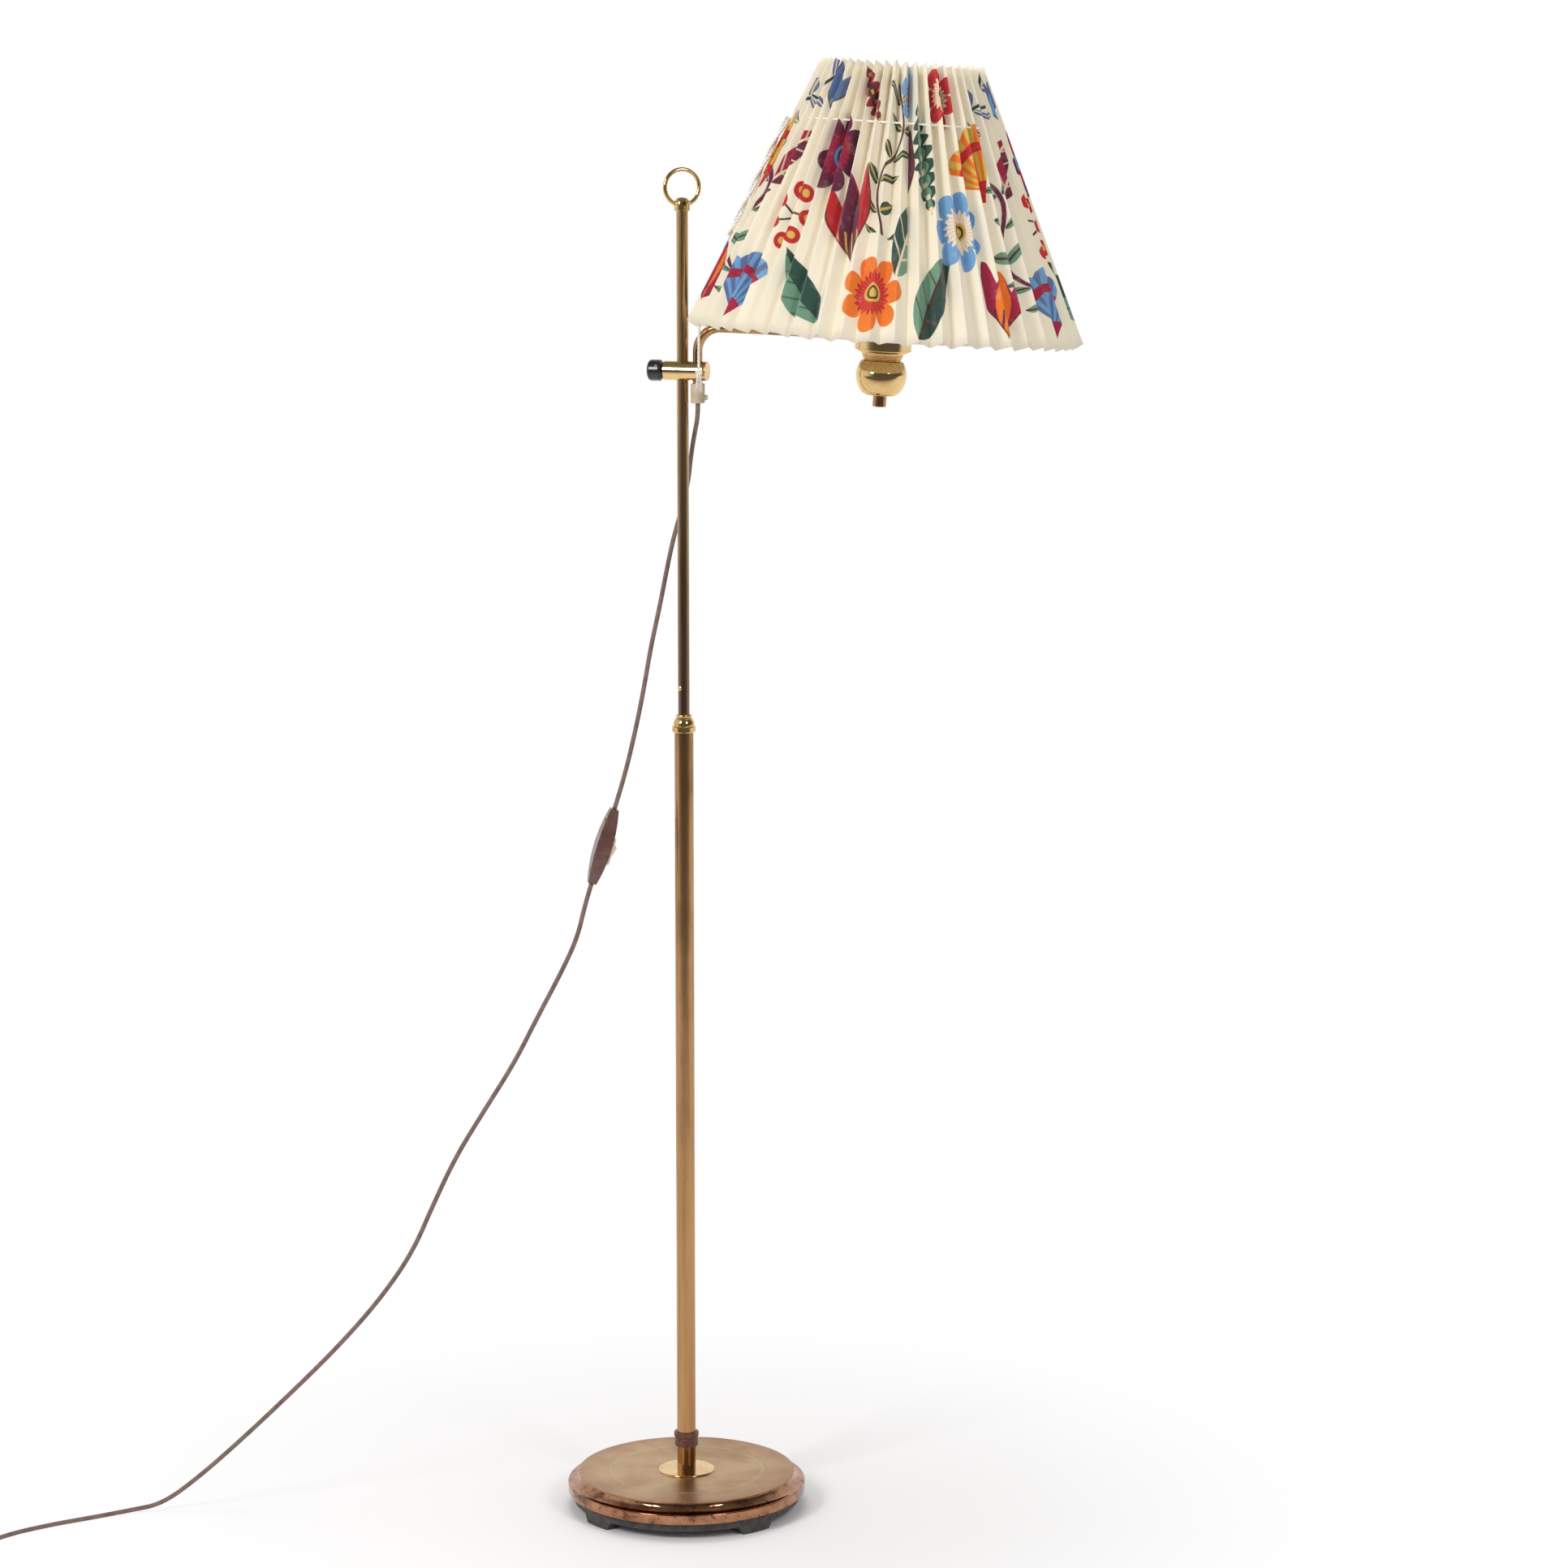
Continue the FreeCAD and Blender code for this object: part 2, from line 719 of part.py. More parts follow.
def arm_wire():
    """The cord inside the arm, up through the hub and the nipple to the lampholder."""
    turn_radius = arm_end_from_axis
    edges = arm_path(grip_bottom, turn_radius)
    end = edges[-1].Vertexes[-1].Point
    up_start = head_point(0, 0, turn_radius)
    middle = head_point(turn_radius * (1 - math.sqrt(0.5)), 180, turn_radius * (1 - math.sqrt(0.5)))
    edges.append(Part.Arc(end, middle, up_start).toShape())
    edges.append(Part.LineSegment(up_start, head_point(0, 0, holder_cap_bottom)).toShape())
    return swept(Part.Wire(edges), cord_radius, UP)


def cord_grip():
    """Moulded strain relief on the leg's foot, with its side screw's boss hole."""
    top = grip_bottom + grip_height
    e = grip_edge
    body = turned([
        (cord_radius + slip_gap, grip_bottom), (grip_radius - e, grip_bottom), (grip_radius, grip_bottom + e),
        (grip_radius, top - e), (grip_radius - e, top), (arm_radius, top), (arm_radius, arm_leg_bottom),
        (cord_radius + slip_gap, arm_leg_bottom)])
    body.translate(along * leg_offset)
    return body.cut(grip_screw_shape(0.0))


def grip_screw_shape(extra):
    way = direction(grip_screw_azimuth)
    centre = V(leg_offset, 0, grip_bottom + grip_screw_height)
    inner = cord_radius + slip_gap + 0.1
    shank = cylinder(grip_screw_shank_radius + extra, grip_radius - inner, centre + way * inner, way)
    head = cylinder(grip_screw_radius, grip_screw_proud + 1.0, centre + way * (grip_radius - 1.0), way)
    return fuse_all([shank, head])


def cord_grip_screw():
    way = direction(grip_screw_azimuth)
    centre = V(leg_offset, 0, grip_bottom + grip_screw_height)
    slot = Part.makeBox(0.8, 4 * grip_screw_radius, 1.6, V(-0.4, -2 * grip_screw_radius, -0.8))
    slot.Placement = FreeCAD.Placement(centre + way * (grip_radius + grip_screw_proud),
                                       FreeCAD.Rotation(UP, way))
    return grip_screw_shape(0.0).cut(slot)


# ---- head ---------------------------------------------------------------------
def arm_hub():
    """Cross hub: the arm enters the side, the rod leaves below and the nipple above."""
    body = cylinder(hub_radius, 2 * hub_half_height, V(0, 0, -hub_half_height))
    side = cylinder(arm_radius, hub_radius, V(-arm_end_from_axis + 1.0, 0, 0), V(-1, 0, 0))
    chamber = cylinder(arm_bore, hub_half_height + cord_radius, V(0, 0, -cord_radius - 0.6))
    throat = cylinder(rod_radius, hub_half_height - 5.0, V(0, 0, 5.0))
    seat = cylinder(rod_radius, hub_half_height - 5.0, V(0, 0, -hub_half_height))
    inner_way = cylinder(arm_bore, arm_end_from_axis + 1.0, V(0, 0, 0), V(-1, 0, 0))
    return on_head(body.cut(side.multiFuse([chamber, throat, seat, inner_way])))


def lower_rod():
    bottom = ball_bottom - foot_disc_thickness - stem_nut_length + stem_nut_bore_depth
    return on_head(cylinder(rod_radius, -5.0 - bottom, V(0, 0, bottom)))


def upper_nipple():
    top = holder_cap_bottom + 6.0
    return on_head(tube(rod_radius, nipple_bore, top - 5.0, V(0, 0, 5.0)))


def head_cup():
    """Straight-sided spun cup with a beaded rim and a side way for the arm."""
    r, t, z0, z1 = cup_radius, cup_wall, cup_bottom, cup_rim
    hole = rod_radius + slip_gap
    body = turned([
        (hole, z0), (r - 1.0, z0), ((r - 0.3, z0 + 0.3), (r, z0 + 1.0)), (r, z1 - 1.6),
        ((r + cup_bead, z1 - 0.8), (r, z1)), (r - t, z1), (r - t, z0 + t), (hole, z0 + t)])
    way = cylinder(arm_radius + loose_gap, 2 * cup_radius, V(0, 0, 0), V(-1, 0, 0))
    return on_head(body.cut(way))


def step_ring():
    r0, r1 = step_outer_radius, step_inner_radius
    height = cup_bottom - step_bottom
    hole = rod_radius + slip_gap
    return on_head(turned([
        (hole, step_bottom), (r1, step_bottom), (r1 + 0.4, step_bottom + 0.3 * height),
        ((r1 + 0.45 * (r0 - r1), step_bottom + 0.5 * height), (r0 - 0.4, step_bottom + 0.62 * height)),
        (r0, step_bottom + 0.7 * height), (r0, cup_bottom), (hole, cup_bottom)]))


def head_neck():
    """Short neck with fine turned rings."""
    pitch = (step_bottom - neck_bottom) / neck_ring_count
    hole = rod_radius + slip_gap
    steps = [(hole, neck_bottom), (neck_radius, neck_bottom)]
    for k in range(neck_ring_count):
        low = neck_bottom + k * pitch
        radius = neck_radius + 0.9 * k
        steps.append(((radius + neck_ring, low + 0.5 * pitch), (radius + 0.3, low + pitch)))
    steps.append((hole, step_bottom))
    return on_head(turned(steps))


def head_ball():
    """Hollow spun ball, open at the neck and closed below by its small foot disc."""
    r, t = ball_radius, ball_wall
    top, bottom = neck_bottom - ball_middle, ball_bottom - ball_middle
    ri = r - t
    hole = rod_radius + slip_gap
    out_top, out_bottom = math.sqrt(r * r - top * top), math.sqrt(r * r - bottom * bottom)
    in_top = math.sqrt(ri * ri - (top - t) ** 2)
    in_bottom = math.sqrt(ri * ri - (bottom + t) ** 2)
    return on_head(turned([
        (hole, ball_bottom), (out_bottom, ball_bottom),
        ((r, ball_middle), (out_top, neck_bottom)),
        (hole, neck_bottom), (hole, neck_bottom - t), (in_top, neck_bottom - t),
        ((ri, ball_middle), (in_bottom, ball_bottom + t)), (hole, ball_bottom + t)]))


def ball_foot_disc():
    z1 = ball_bottom
    z0 = z1 - foot_disc_thickness
    hole = rod_radius + slip_gap
    r = foot_disc_radius
    return on_head(turned([
        (hole, z0), (r - 0.5, z0), ((r, 0.5 * (z0 + z1)), (r - 0.5, z1)), (hole, z1)]))


def stem_nut():
    z1 = ball_bottom - foot_disc_thickness
    z0 = z1 - stem_nut_length
    r = stem_nut_radius
    open_bore = rod_radius
    return on_head(turned([
        (open_bore, z0), (r - 0.6, z0), (r, z0 + 0.6), (r, z1 - 0.8), (r + 0.5, z1 - 0.4), (r + 0.5, z1),
        (open_bore, z1)]))


# ---- lampholder and bulb ---------------------------------------------------------
holder_foot = holder_cap_bottom + holder_cap_height
holder_top = holder_foot + holder_body_height
bulb_foot = holder_foot + holder_floor + 1.0


def lampholder_cap():
    z0, z1 = holder_cap_bottom, holder_foot
    r = holder_cap_radius
    t = 2.0
    return on_head(turned([
        (rod_radius, z0), (r - 4.0, z0), bulge((r - 4.0, z0), (r, z0 + 4.0), -1.1), (r, z1), (r - t, z1),
        (r - t, z0 + 6.0), (rod_radius, z0 + 6.0)]))


def lampholder_body():
    """Threaded holder: outer rings carry the clamp ring, the bore takes the bulb's cap."""
    z0, z1 = holder_foot, holder_top
    r, inner = holder_body_radius, holder_body_radius - holder_wall
    steps = [(3.0, z0), (r, z0)]
    ring_pitch = 3.0
    count = 8
    start = z1 - 1.5 - ring_pitch * count
    for k in range(count):
        low = start + ring_pitch * k
        steps += [(r, low), (r - 0.6, low + 0.5 * ring_pitch)]
    steps += [(r, z1 - 1.5), (r, z1), (inner, z1), (inner, z0 + holder_floor), (3.0, z0 + holder_floor)]
    return on_head(turned(steps))


def clamp_ring():
    z0 = holder_foot + clamp_ring_height
    z1 = z0 + clamp_ring_thickness
    bore = holder_body_radius
    r = clamp_ring_radius
    body = turned([(bore, z0), (r, z0), (r, z1 - 0.8), (r - 0.8, z1), (bore, z1)])
    notch = cylinder(1.4, 2 * clamp_ring_thickness, V(r + 0.3, 0, z0 - 1))
    return on_head(body.cut(Part.makeCompound(around(notch, 16))))


def bulb_cap():
    z0 = bulb_foot
    r = bulb_cap_radius
    steps = [(0, z0), (4.5, z0), (5.0, z0 + 1.2), (9.0, z0 + 4.0), (r - 0.8, z0 + 4.5)]
    pitch = 3.6
    for k in range(5):
        low = z0 + 4.5 + pitch * k
        steps.append(((r, low + 0.5 * pitch), (r - 0.8, low + pitch)))
    steps += [(r - 0.8, z0 + bulb_cap_height), (0, z0 + bulb_cap_height)]
    return on_head(turned(steps))


def bulb_glass():
    z0 = bulb_foot + bulb_cap_height
    top = bulb_foot + bulb_length
    centre = top - bulb_radius
    join = math.radians(35)
    belly = (bulb_radius * math.cos(join), centre - bulb_radius * math.sin(join))
    n = bulb_neck_radius
    t = bulb_glass_wall
    inner_belly = ((bulb_radius - t) * math.cos(join), centre - (bulb_radius - t) * math.sin(join))
    side = math.radians(20)
    outer_side = (bulb_radius * math.cos(side), centre + bulb_radius * math.sin(side))
    inner_side = ((bulb_radius - t) * math.cos(side), centre + (bulb_radius - t) * math.sin(side))
    return on_head(turned([
        (n - t, z0), (n, z0), bulge((n, z0), belly, 1.6), (outer_side, (0, top)),
        (0, top - t), (inner_side, inner_belly), bulge(inner_belly, (n - t, z0), -1.6)]))


# ---- shade ----------------------------------------------------------------------
pitch_angle = 360.0 / pleat_count
slope = (ridge_radius_bottom - ridge_radius_top) / shade_height
valley_radius_bottom = ridge_radius_bottom - pleat_depth_bottom
valley_radius_top = ridge_radius_top - pleat_depth_top
shade_slant = math.hypot(shade_height, ridge_radius_bottom - ridge_radius_top)


def pleat_half_angle(ridge_radius, depth):
    return math.atan2(ridge_radius * math.sin(math.radians(pitch_angle / 2)), depth)


def pleat_ring(ridge_radius, depth, ridge_level, inward):
    """Corner points of one zigzag edge: valley, ridge, valley ... in head coordinates.
    A folded strip's edge dips in each valley."""
    wall = shade_cloth / math.sin(pleat_half_angle(ridge_radius, depth)) if inward else 0.0
    points = []
    for k in range(pleat_count):
        valley = shade_valley_azimuth + k * pitch_angle
        points.append(direction(valley) * (ridge_radius - depth - wall) + UP * (ridge_level - depth * slope))
        points.append(direction(valley + pitch_angle / 2) * (ridge_radius - wall) + UP * ridge_level)
    return points


def between(lower, upper, share):
    return [low + (high - low) * share for low, high in zip(lower, upper)]


def shade():
    """Pleated cloth cone: twisted panels between ridge and valley folds, with their wall."""
    rings = []
    for inward in (False, True):
        foot = pleat_ring(ridge_radius_bottom, pleat_depth_bottom, shade_foot, inward)
        head = pleat_ring(ridge_radius_top, pleat_depth_top, shade_foot + shade_height, inward)
        wall = [between(foot, head, band / shade_bands) for band in range(shade_bands + 1)]
        rings += reversed(wall) if inward else wall
    faces = []
    count = 2 * pleat_count
    for band, (low, high) in enumerate(zip(rings, rings[1:] + rings[:1])):
        for k in range(count):
            n = (k + 1) % count
            pair = ((low[k], low[n], high[n]), (low[k], high[n], high[k]))
            if band > shade_bands:
                pair = ((low[k], low[n], high[k]), (low[n], high[n], high[k]))
            for triangle in pair:
                faces.append(Part.Face(Part.makePolygon(list(triangle) + [triangle[0]])))
    body = Part.Solid(Part.Shell(faces))
    if body.Volume < 0:
        body.reverse()
    return on_head(body)


def valley_radius(level):
    share = (level - shade_foot) / shade_height
    return valley_radius_bottom + share * (valley_radius_top - valley_radius_bottom)


def cloth_inside(level):
    share = (level - shade_foot) / shade_height
    ridge = ridge_radius_bottom + share * (ridge_radius_top - ridge_radius_bottom)
    depth = pleat_depth_bottom + share * (pleat_depth_top - pleat_depth_bottom)
    return ridge - depth - shade_cloth / math.sin(pleat_half_angle(ridge, depth)) - depth * slope * slope


carrier_level = shade_foot + carrier_above_foot
carrier_radius = cloth_inside(carrier_level + carrier_wire_radius) - carrier_wire_radius - loose_gap
carrier_ring_bottom = holder_foot + clamp_ring_height - carrier_ring_thickness


def shade_carrier():
    """Welded wire frame: hem ring, three bent arms and the ring that sits on the holder."""
    hem = torus(carrier_radius, carrier_wire_radius, UP * carrier_level)
    seat = tube(carrier_ring_outer, holder_body_radius + slip_gap, carrier_ring_thickness,
                UP * carrier_ring_bottom)
    w = carrier_wire_radius
    level = carrier_ring_bottom + carrier_ring_thickness - w
    inner = V(carrier_ring_outer - 1.0, 0, level)
    knee = V(carrier_ring_outer + 22.0, 0, level)
    outer = V(carrier_radius, 0, carrier_level)
    path = rounded_path([inner, knee, outer], share=0.4)
    arm = spin(swept(path, w, V(1, 0, 0)), carrier_arm_azimuth)
    return on_head(fuse_all([hem, seat] + around(arm, carrier_arm_count)))


def shade_top_ring():
    level = shade_foot + shade_height - top_wire_below_rim
    radius = cloth_inside(level + top_wire_radius) - top_wire_radius - loose_gap
    return on_head(torus(radius, top_wire_radius, UP * level))


# ---- drawstring --------------------------------------------------------------------
string_share = 1 - string_down_slope / shade_slant
string_level = shade_foot + string_share * shade_height
string_ring_radius = (valley_radius(string_level)
                      + ridge_radius_bottom + string_share * (ridge_radius_top - ridge_radius_bottom)) / 2
tail_azimuth = shade_valley_azimuth
bight_azimuth = shade_valley_azimuth + (bight_ridge + 0.5) * pitch_angle


def drawstring_loop():
    return on_head(torus(string_ring_radius, 0.5 * string_radius, UP * string_level))


def tail_points():
    """Down a valley just inside the loop, then straight down from the rim."""
    lean = math.cos(math.atan(slope))
    inside_loop = (1.5 * string_radius + string_play) / lean
    off_valley = string_ring_radius - inside_loop - valley_radius(string_level)
    start = head_point(valley_radius(string_level) + off_valley, tail_azimuth, string_level)
    rim_level = shade_foot + tail_bend_above_foot
    rim = head_point(valley_radius(rim_level) + off_valley, tail_azimuth, rim_level)
    return [start, rim, V(rim.x, rim.y, tail_knot_height + tail_knot_radius)]


def drawstring_tail():
    points = tail_points()
    return swept(rounded_path(points, "drawstring_tail", share=0.12), string_radius,
                 (points[1] - points[0]).normalize())


def drawstring_knot():
    """Round knot with the string's two ends hanging from its flat foot."""
    hang = tail_points()[-1]
    r = tail_knot_radius
    foot = (0.9 * r, -0.6 * r)
    knot = turned([(0, foot[1]), foot, ((r, 0), (string_radius, r)), (0, r)])
    length = tail_tuft_length + r + foot[1]
    strand = cylinder(string_radius, length + 0.1 * r, V(0, 0, foot[1] - length))
    side = direction(view_azimuth) * (string_radius + 0.5 * tail_strand_gap)
    knot = fuse_all([knot, strand.translated(-side), strand.translated(side)])
    return knot.translated(V(hang.x, hang.y, tail_knot_height))


def ridge_point(level, off, azimuth):
    share = (level - shade_foot) / shade_height
    ridge = ridge_radius_bottom + share * (ridge_radius_top - ridge_radius_bottom)
    return head_point(ridge + off, azimuth, level)


def drawstring_bight():
    """The doubled strand that lies down the shade's near left side."""
    low_level = shade_foot + bight_share * shade_height
    spread = math.degrees((string_radius + 0.5 * bight_strand_gap) / ridge_radius_top)
    tops = []
    strands = []
    for side in (-1, 1):
        high = ridge_point(string_level, bight_off_ridge, bight_azimuth + side * spread)
        low = ridge_point(low_level, bight_off_ridge, bight_azimuth + 0.55 * side * spread)
        tops.append(low)
        strands.append(cylinder(string_radius, (low - high).Length, high, low - high))
    bow = [Part.makeSphere(string_radius, p) for p in tops]
    link = cylinder(string_radius, (tops[1] - tops[0]).Length, tops[0], tops[1] - tops[0])
    return fuse_all(strands + bow + [link])


# ---- mains cord -----------------------------------------------------------------------
switch_axis = (switch_top - switch_bottom).normalize()
view_side = direction(view_azimuth + switch_turn)
switch_face = (view_side - switch_axis * view_side.dot(switch_axis)).normalize()
switch_across = switch_axis.cross(switch_face)
switch_middle = (switch_top + switch_bottom) * 0.5
switch_half = (switch_top - switch_bottom).Length / 2
switch_matrix = FreeCAD.Matrix(
    switch_face.x, switch_across.x, switch_axis.x, switch_middle.x,
    switch_face.y, switch_across.y, switch_axis.y, switch_middle.y,
    switch_face.z, switch_across.z, switch_axis.z, switch_middle.z,
    0, 0, 0, 1)
switch_place = FreeCAD.Placement(switch_matrix)


def on_switch(shape):
    copy = shape.copy()
    copy.Placement = switch_place.multiply(copy.Placement)
    return copy


def cord_upper():
    exit_point = V(leg_offset, 0, grip_bottom)
    points = [exit_point] + upper_route + [switch_top + switch_axis * cord_lead, switch_top]
    path = rounded_path(points, "cord_upper")
    shape = swept(path, cord_radius, (points[1] - points[0]).normalize())
    report_tube("cord_upper", shape, path, cord_radius)
    return shape


coil_across = direction(coil_axis_azimuth)
coil_forward = direction(coil_axis_azimuth - 90)


def coil_turn_points():
    """Where each half turn starts: in on the floor layer, out again on the layer above."""
    steps = []
    for k in range(coil_half_turns + 1):
        steps.append((coil_outer_radius - 0.5 * coil_pitch * k, 0.0))
    for k in range(coil_half_turns + 1):
        radius = coil_outer_radius - 0.5 * coil_pitch * (coil_half_turns - k)
        steps.append((radius, coil_pitch))
    points = []
    for k, (radius, level) in enumerate(steps):
        side = 1 if k % 2 == 0 else -1
        points.append((coil_centre + coil_across * (side * radius) + UP * level, coil_forward * side))
    return points


def biarc(start, start_way, end, end_way):
    """Two arcs, tangent to each other and to both given directions."""
    reach = (end - start).Length / 2
    first_corner = start + start_way * reach
    last_corner = end - end_way * reach
    join = (first_corner + last_corner) * 0.5
    edges = []
    for a, corner, b in ((start, first_corner, join), (join, last_corner, end)):
        half = (corner - a).getAngle(b - corner) / 2
        radius = (corner - a).Length / math.tan(half)
        chord_middle = (a + b) * 0.5
        to_corner = (corner - chord_middle)
        rise = radius * (1 - math.cos(half))
        middle = chord_middle + to_corner.normalize() * rise
        edges.append(Part.Arc(a, middle, b).toShape())
    return edges


def coil_path():
    points = coil_turn_points()
    first, way = points[0]
    edges = [Part.LineSegment(first - way * coil_lead, first).toShape()]
    for (a, way_a), (b, way_b) in zip(points, points[1:]):
        edges += biarc(a, way_a, b, way_b)
    last, way = points[-1]
    edges.append(Part.LineSegment(last, last + way * plug_run).toShape())
    return Part.Wire(edges)


def cord_coil():
    path = coil_path()
    shape = swept(path, cord_radius, coil_forward)
    report_tube("cord_coil", shape, path, cord_radius)
    return shape


def least_gap():
    """Least distance between turns of the coil, on points along its line."""
    path = coil_path()
    step = 2.0
    points = path.discretize(Number=int(path.Length / step))
    apart = int(8 * cord_radius / step) + 1
    least = min((points[i] - points[j]).Length
                for i in range(len(points)) for j in range(i + apart, len(points)))
    return least - 2 * cord_radius


def cord_lower():
    start = coil_turn_points()[0]
    end = start[0] - start[1] * coil_lead
    points = [switch_bottom, switch_bottom - switch_axis * 1.5 * cord_lead] + lower_route
    points += [end]
    path = rounded_path(points, "cord_lower")
    shape = swept(path, cord_radius, (points[1] - points[0]).normalize())
    report_tube("cord_lower", shape, path, cord_radius)
    return shape


plug_way = coil_turn_points()[-1][1]
plug_start = coil_turn_points()[-1][0] + plug_way * plug_run
plug_half_height = plug_start.z - floor_play


def on_plug(shape):
    """Plug coordinates: Z out of the cord, X up off the floor, Y across."""
    across = plug_way.cross(UP)
    matrix = FreeCAD.Matrix(
        UP.x, across.x, plug_way.x, plug_start.x,
        UP.y, across.y, plug_way.y, plug_start.y,
        UP.z, across.z, plug_way.z, plug_start.z,
        0, 0, 0, 1)
    copy = shape.copy()
    copy.Placement = FreeCAD.Placement(matrix).multiply(copy.Placement)
    return copy


def plug_relief():
    steps = [(cord_radius, 0.0), (relief_tip_radius, 0.0)]
    rings = 5
    pitch = relief_length / rings
    for k in range(rings):
        radius = relief_tip_radius + (relief_root_radius - relief_tip_radius) * (k + 1) / rings
        low = pitch * k
        steps += [(radius, low + 0.35 * pitch), (radius, low + 0.7 * pitch), (radius - 0.6, low + 0.8 * pitch)]
        if k < rings - 1:
            steps.append((radius - 0.6, low + pitch))
    steps += [(relief_root_radius, relief_length), (cord_radius, relief_length)]
    return on_plug(turned(steps))


def mirrored_outline(half, out, across):
    """Face from one side's steps (width, length), mirrored about the length axis."""
    def place(pair, side):
        return out * (side * pair[0]) + across * pair[1]

    edges = []
    for side in (1, -1):
        here = half[0]
        for step in half[1:]:
            if isinstance(step[0], tuple):
                there = step[1]
                edges.append(Part.Arc(place(here, side), place(step[0], side), place(there, side)).toShape())
            else:
                there = step
                edges.append(Part.LineSegment(place(here, side), place(there, side)).toShape())
            here = there
    edges.append(Part.LineSegment(place(half[0], 1), place(half[0], -1)).toShape())
    edges.append(Part.LineSegment(place(half[-1], 1), place(half[-1], -1)).toShape())
    return Part.Face(Part.Wire(Part.__sortEdges__(edges)))


def plug_body():
    """Flat two-pin plug: waisted sides and a rounded nose, as two outlines in common."""
    h = plug_half_height
    nose, waist, wide = plug_nose_width / 2, plug_nose_width / 2 - 1.0, plug_body_width / 2
    z0, z1 = relief_length, relief_length + plug_body_length
    shoulder, middle, brim = (nose, z0 + 8.0), (waist, z0 + 17.0), (wide, z1 - 4.0)
    plan = mirrored_outline([
        (0.45 * nose, z0), bulge((0.45 * nose, z0), shoulder, -1.6), bulge(shoulder, middle, 0.3),
        bulge(middle, brim, 1.5), (wide, z1)], V(0, 1, 0), UP)
    side = mirrored_outline([
        (relief_root_radius + 0.3, z0), bulge((relief_root_radius + 0.3, z0), (h, z0 + 7.0), -0.9),
        (h, z1 - 1.5), (h - 1.5, z1)], V(1, 0, 0), UP)
    slab = plan.extrude(V(2 * h, 0, 0))
    slab.translate(V(-h, 0, 0))
    block = side.extrude(V(0, 2 * plug_body_width, 0))
    block.translate(V(0, -plug_body_width, 0))
    return on_plug(slab.common(block))


def plug_pins():
    pins = []
    z0 = relief_length + plug_body_length
    for side in (-1, 1):
        base = V(0, side * plug_pin_spacing / 2, z0)
        pin = cylinder(plug_pin_radius, plug_pin_length - plug_pin_radius, base)
        tip = Part.makeSphere(plug_pin_radius, base + UP * (plug_pin_length - plug_pin_radius))
        pins.append(pin.fuse(tip).removeSplitter())
    return on_plug(Part.makeCompound(pins))


# ---- in-line switch ----------------------------------------------------------------------
def switch_blank(inset):
    """Spindle body: a side view and a top view, each of arcs, in common."""
    half = switch_half - inset
    end, belly = switch_end_half - inset, switch_belly - inset
    end_w, wide = switch_end_half_width - inset, switch_half_width - inset
    side = Part.Wire([
        Part.LineSegment(V(-end, 0, -half), V(end, 0, -half)).toShape(),
        Part.Arc(V(end, 0, -half), V(belly, 0, 0), V(end, 0, half)).toShape(),
        Part.LineSegment(V(end, 0, half), V(-end, 0, half)).toShape(),
        Part.Arc(V(-end, 0, half), V(-belly, 0, 0), V(-end, 0, -half)).toShape()])
    top = Part.Wire([
        Part.LineSegment(V(0, -end_w, -half), V(0, end_w, -half)).toShape(),
        Part.Arc(V(0, end_w, -half), V(0, wide, 0), V(0, end_w, half)).toShape(),
        Part.LineSegment(V(0, end_w, half), V(0, -end_w, half)).toShape(),
        Part.Arc(V(0, -end_w, half), V(0, -wide, 0), V(0, -end_w, -half)).toShape()])
    deep = Part.Face(side).extrude(V(0, 4 * wide, 0))
    deep.translate(V(0, -2 * wide, 0))
    flat = Part.Face(top).extrude(V(4 * belly, 0, 0))
    flat.translate(V(-2 * belly, 0, 0))
    return deep.common(flat)


def switch_cavity():
    cable = cylinder(cord_radius, 4 * switch_half, V(0, 0, -2 * switch_half))
    return switch_blank(switch_wall).fuse(cable)


def switch_screw_holes(radius):
    holes = [cylinder(radius, 4 * switch_belly, V(-2 * switch_belly, 0, side * switch_screw_place), along)
             for side in (-1, 1)]
    return Part.makeCompound(holes)


bezel_foot = switch_belly - switch_wall - 0.8
bezel_face = switch_belly + bezel_proud
rocker_axis_height = bezel_face - 2.4


def bezel_block(extra):
    length, width = bezel_length + 2 * extra, bezel_width + 2 * extra
    return Part.makeBox(bezel_face - bezel_foot, width, length,
                        V(bezel_foot, -width / 2, bezel_offset - length / 2))


def switch_back_shell():
    half = Part.makeBox(40, 60, 200, V(switch_split - 40, -30, -100))
    posts = [cylinder(switch_screw_radius + 1.4, switch_belly + switch_split,
                      V(-switch_belly, 0, side * switch_screw_place), along) for side in (-1, 1)]
    body = switch_blank(0.0).common(half).cut(switch_cavity())
    posts = Part.makeCompound(posts).common(switch_blank(0.0)).common(half)
    body = body.fuse(posts).cut(switch_screw_holes(switch_screw_radius))
    seats = [cylinder(switch_screw_head_radius, switch_belly, V(-switch_belly - 5.6, 0, side * switch_screw_place),
                      along) for side in (-1, 1)]
    return on_switch(body.cut(Part.makeCompound(seats)).removeSplitter())


def switch_front_shell():
    half = Part.makeBox(40, 60, 200, V(switch_split, -30, -100))
    body = switch_blank(0.0).common(half).cut(switch_cavity())
    posts = [cylinder(switch_screw_radius + 1.4, switch_belly - switch_split,
                      V(switch_split, 0, side * switch_screw_place), along) for side in (-1, 1)]
    posts = Part.makeCompound(posts).common(switch_blank(0.0))
    holes = [cylinder(switch_screw_radius, 7.0, V(switch_split, 0, side * switch_screw_place), along)
             for side in (-1, 1)]
    body = body.fuse(posts).cut(Part.makeCompound(holes))
    return on_switch(body.cut(bezel_block(0.0)).removeSplitter())


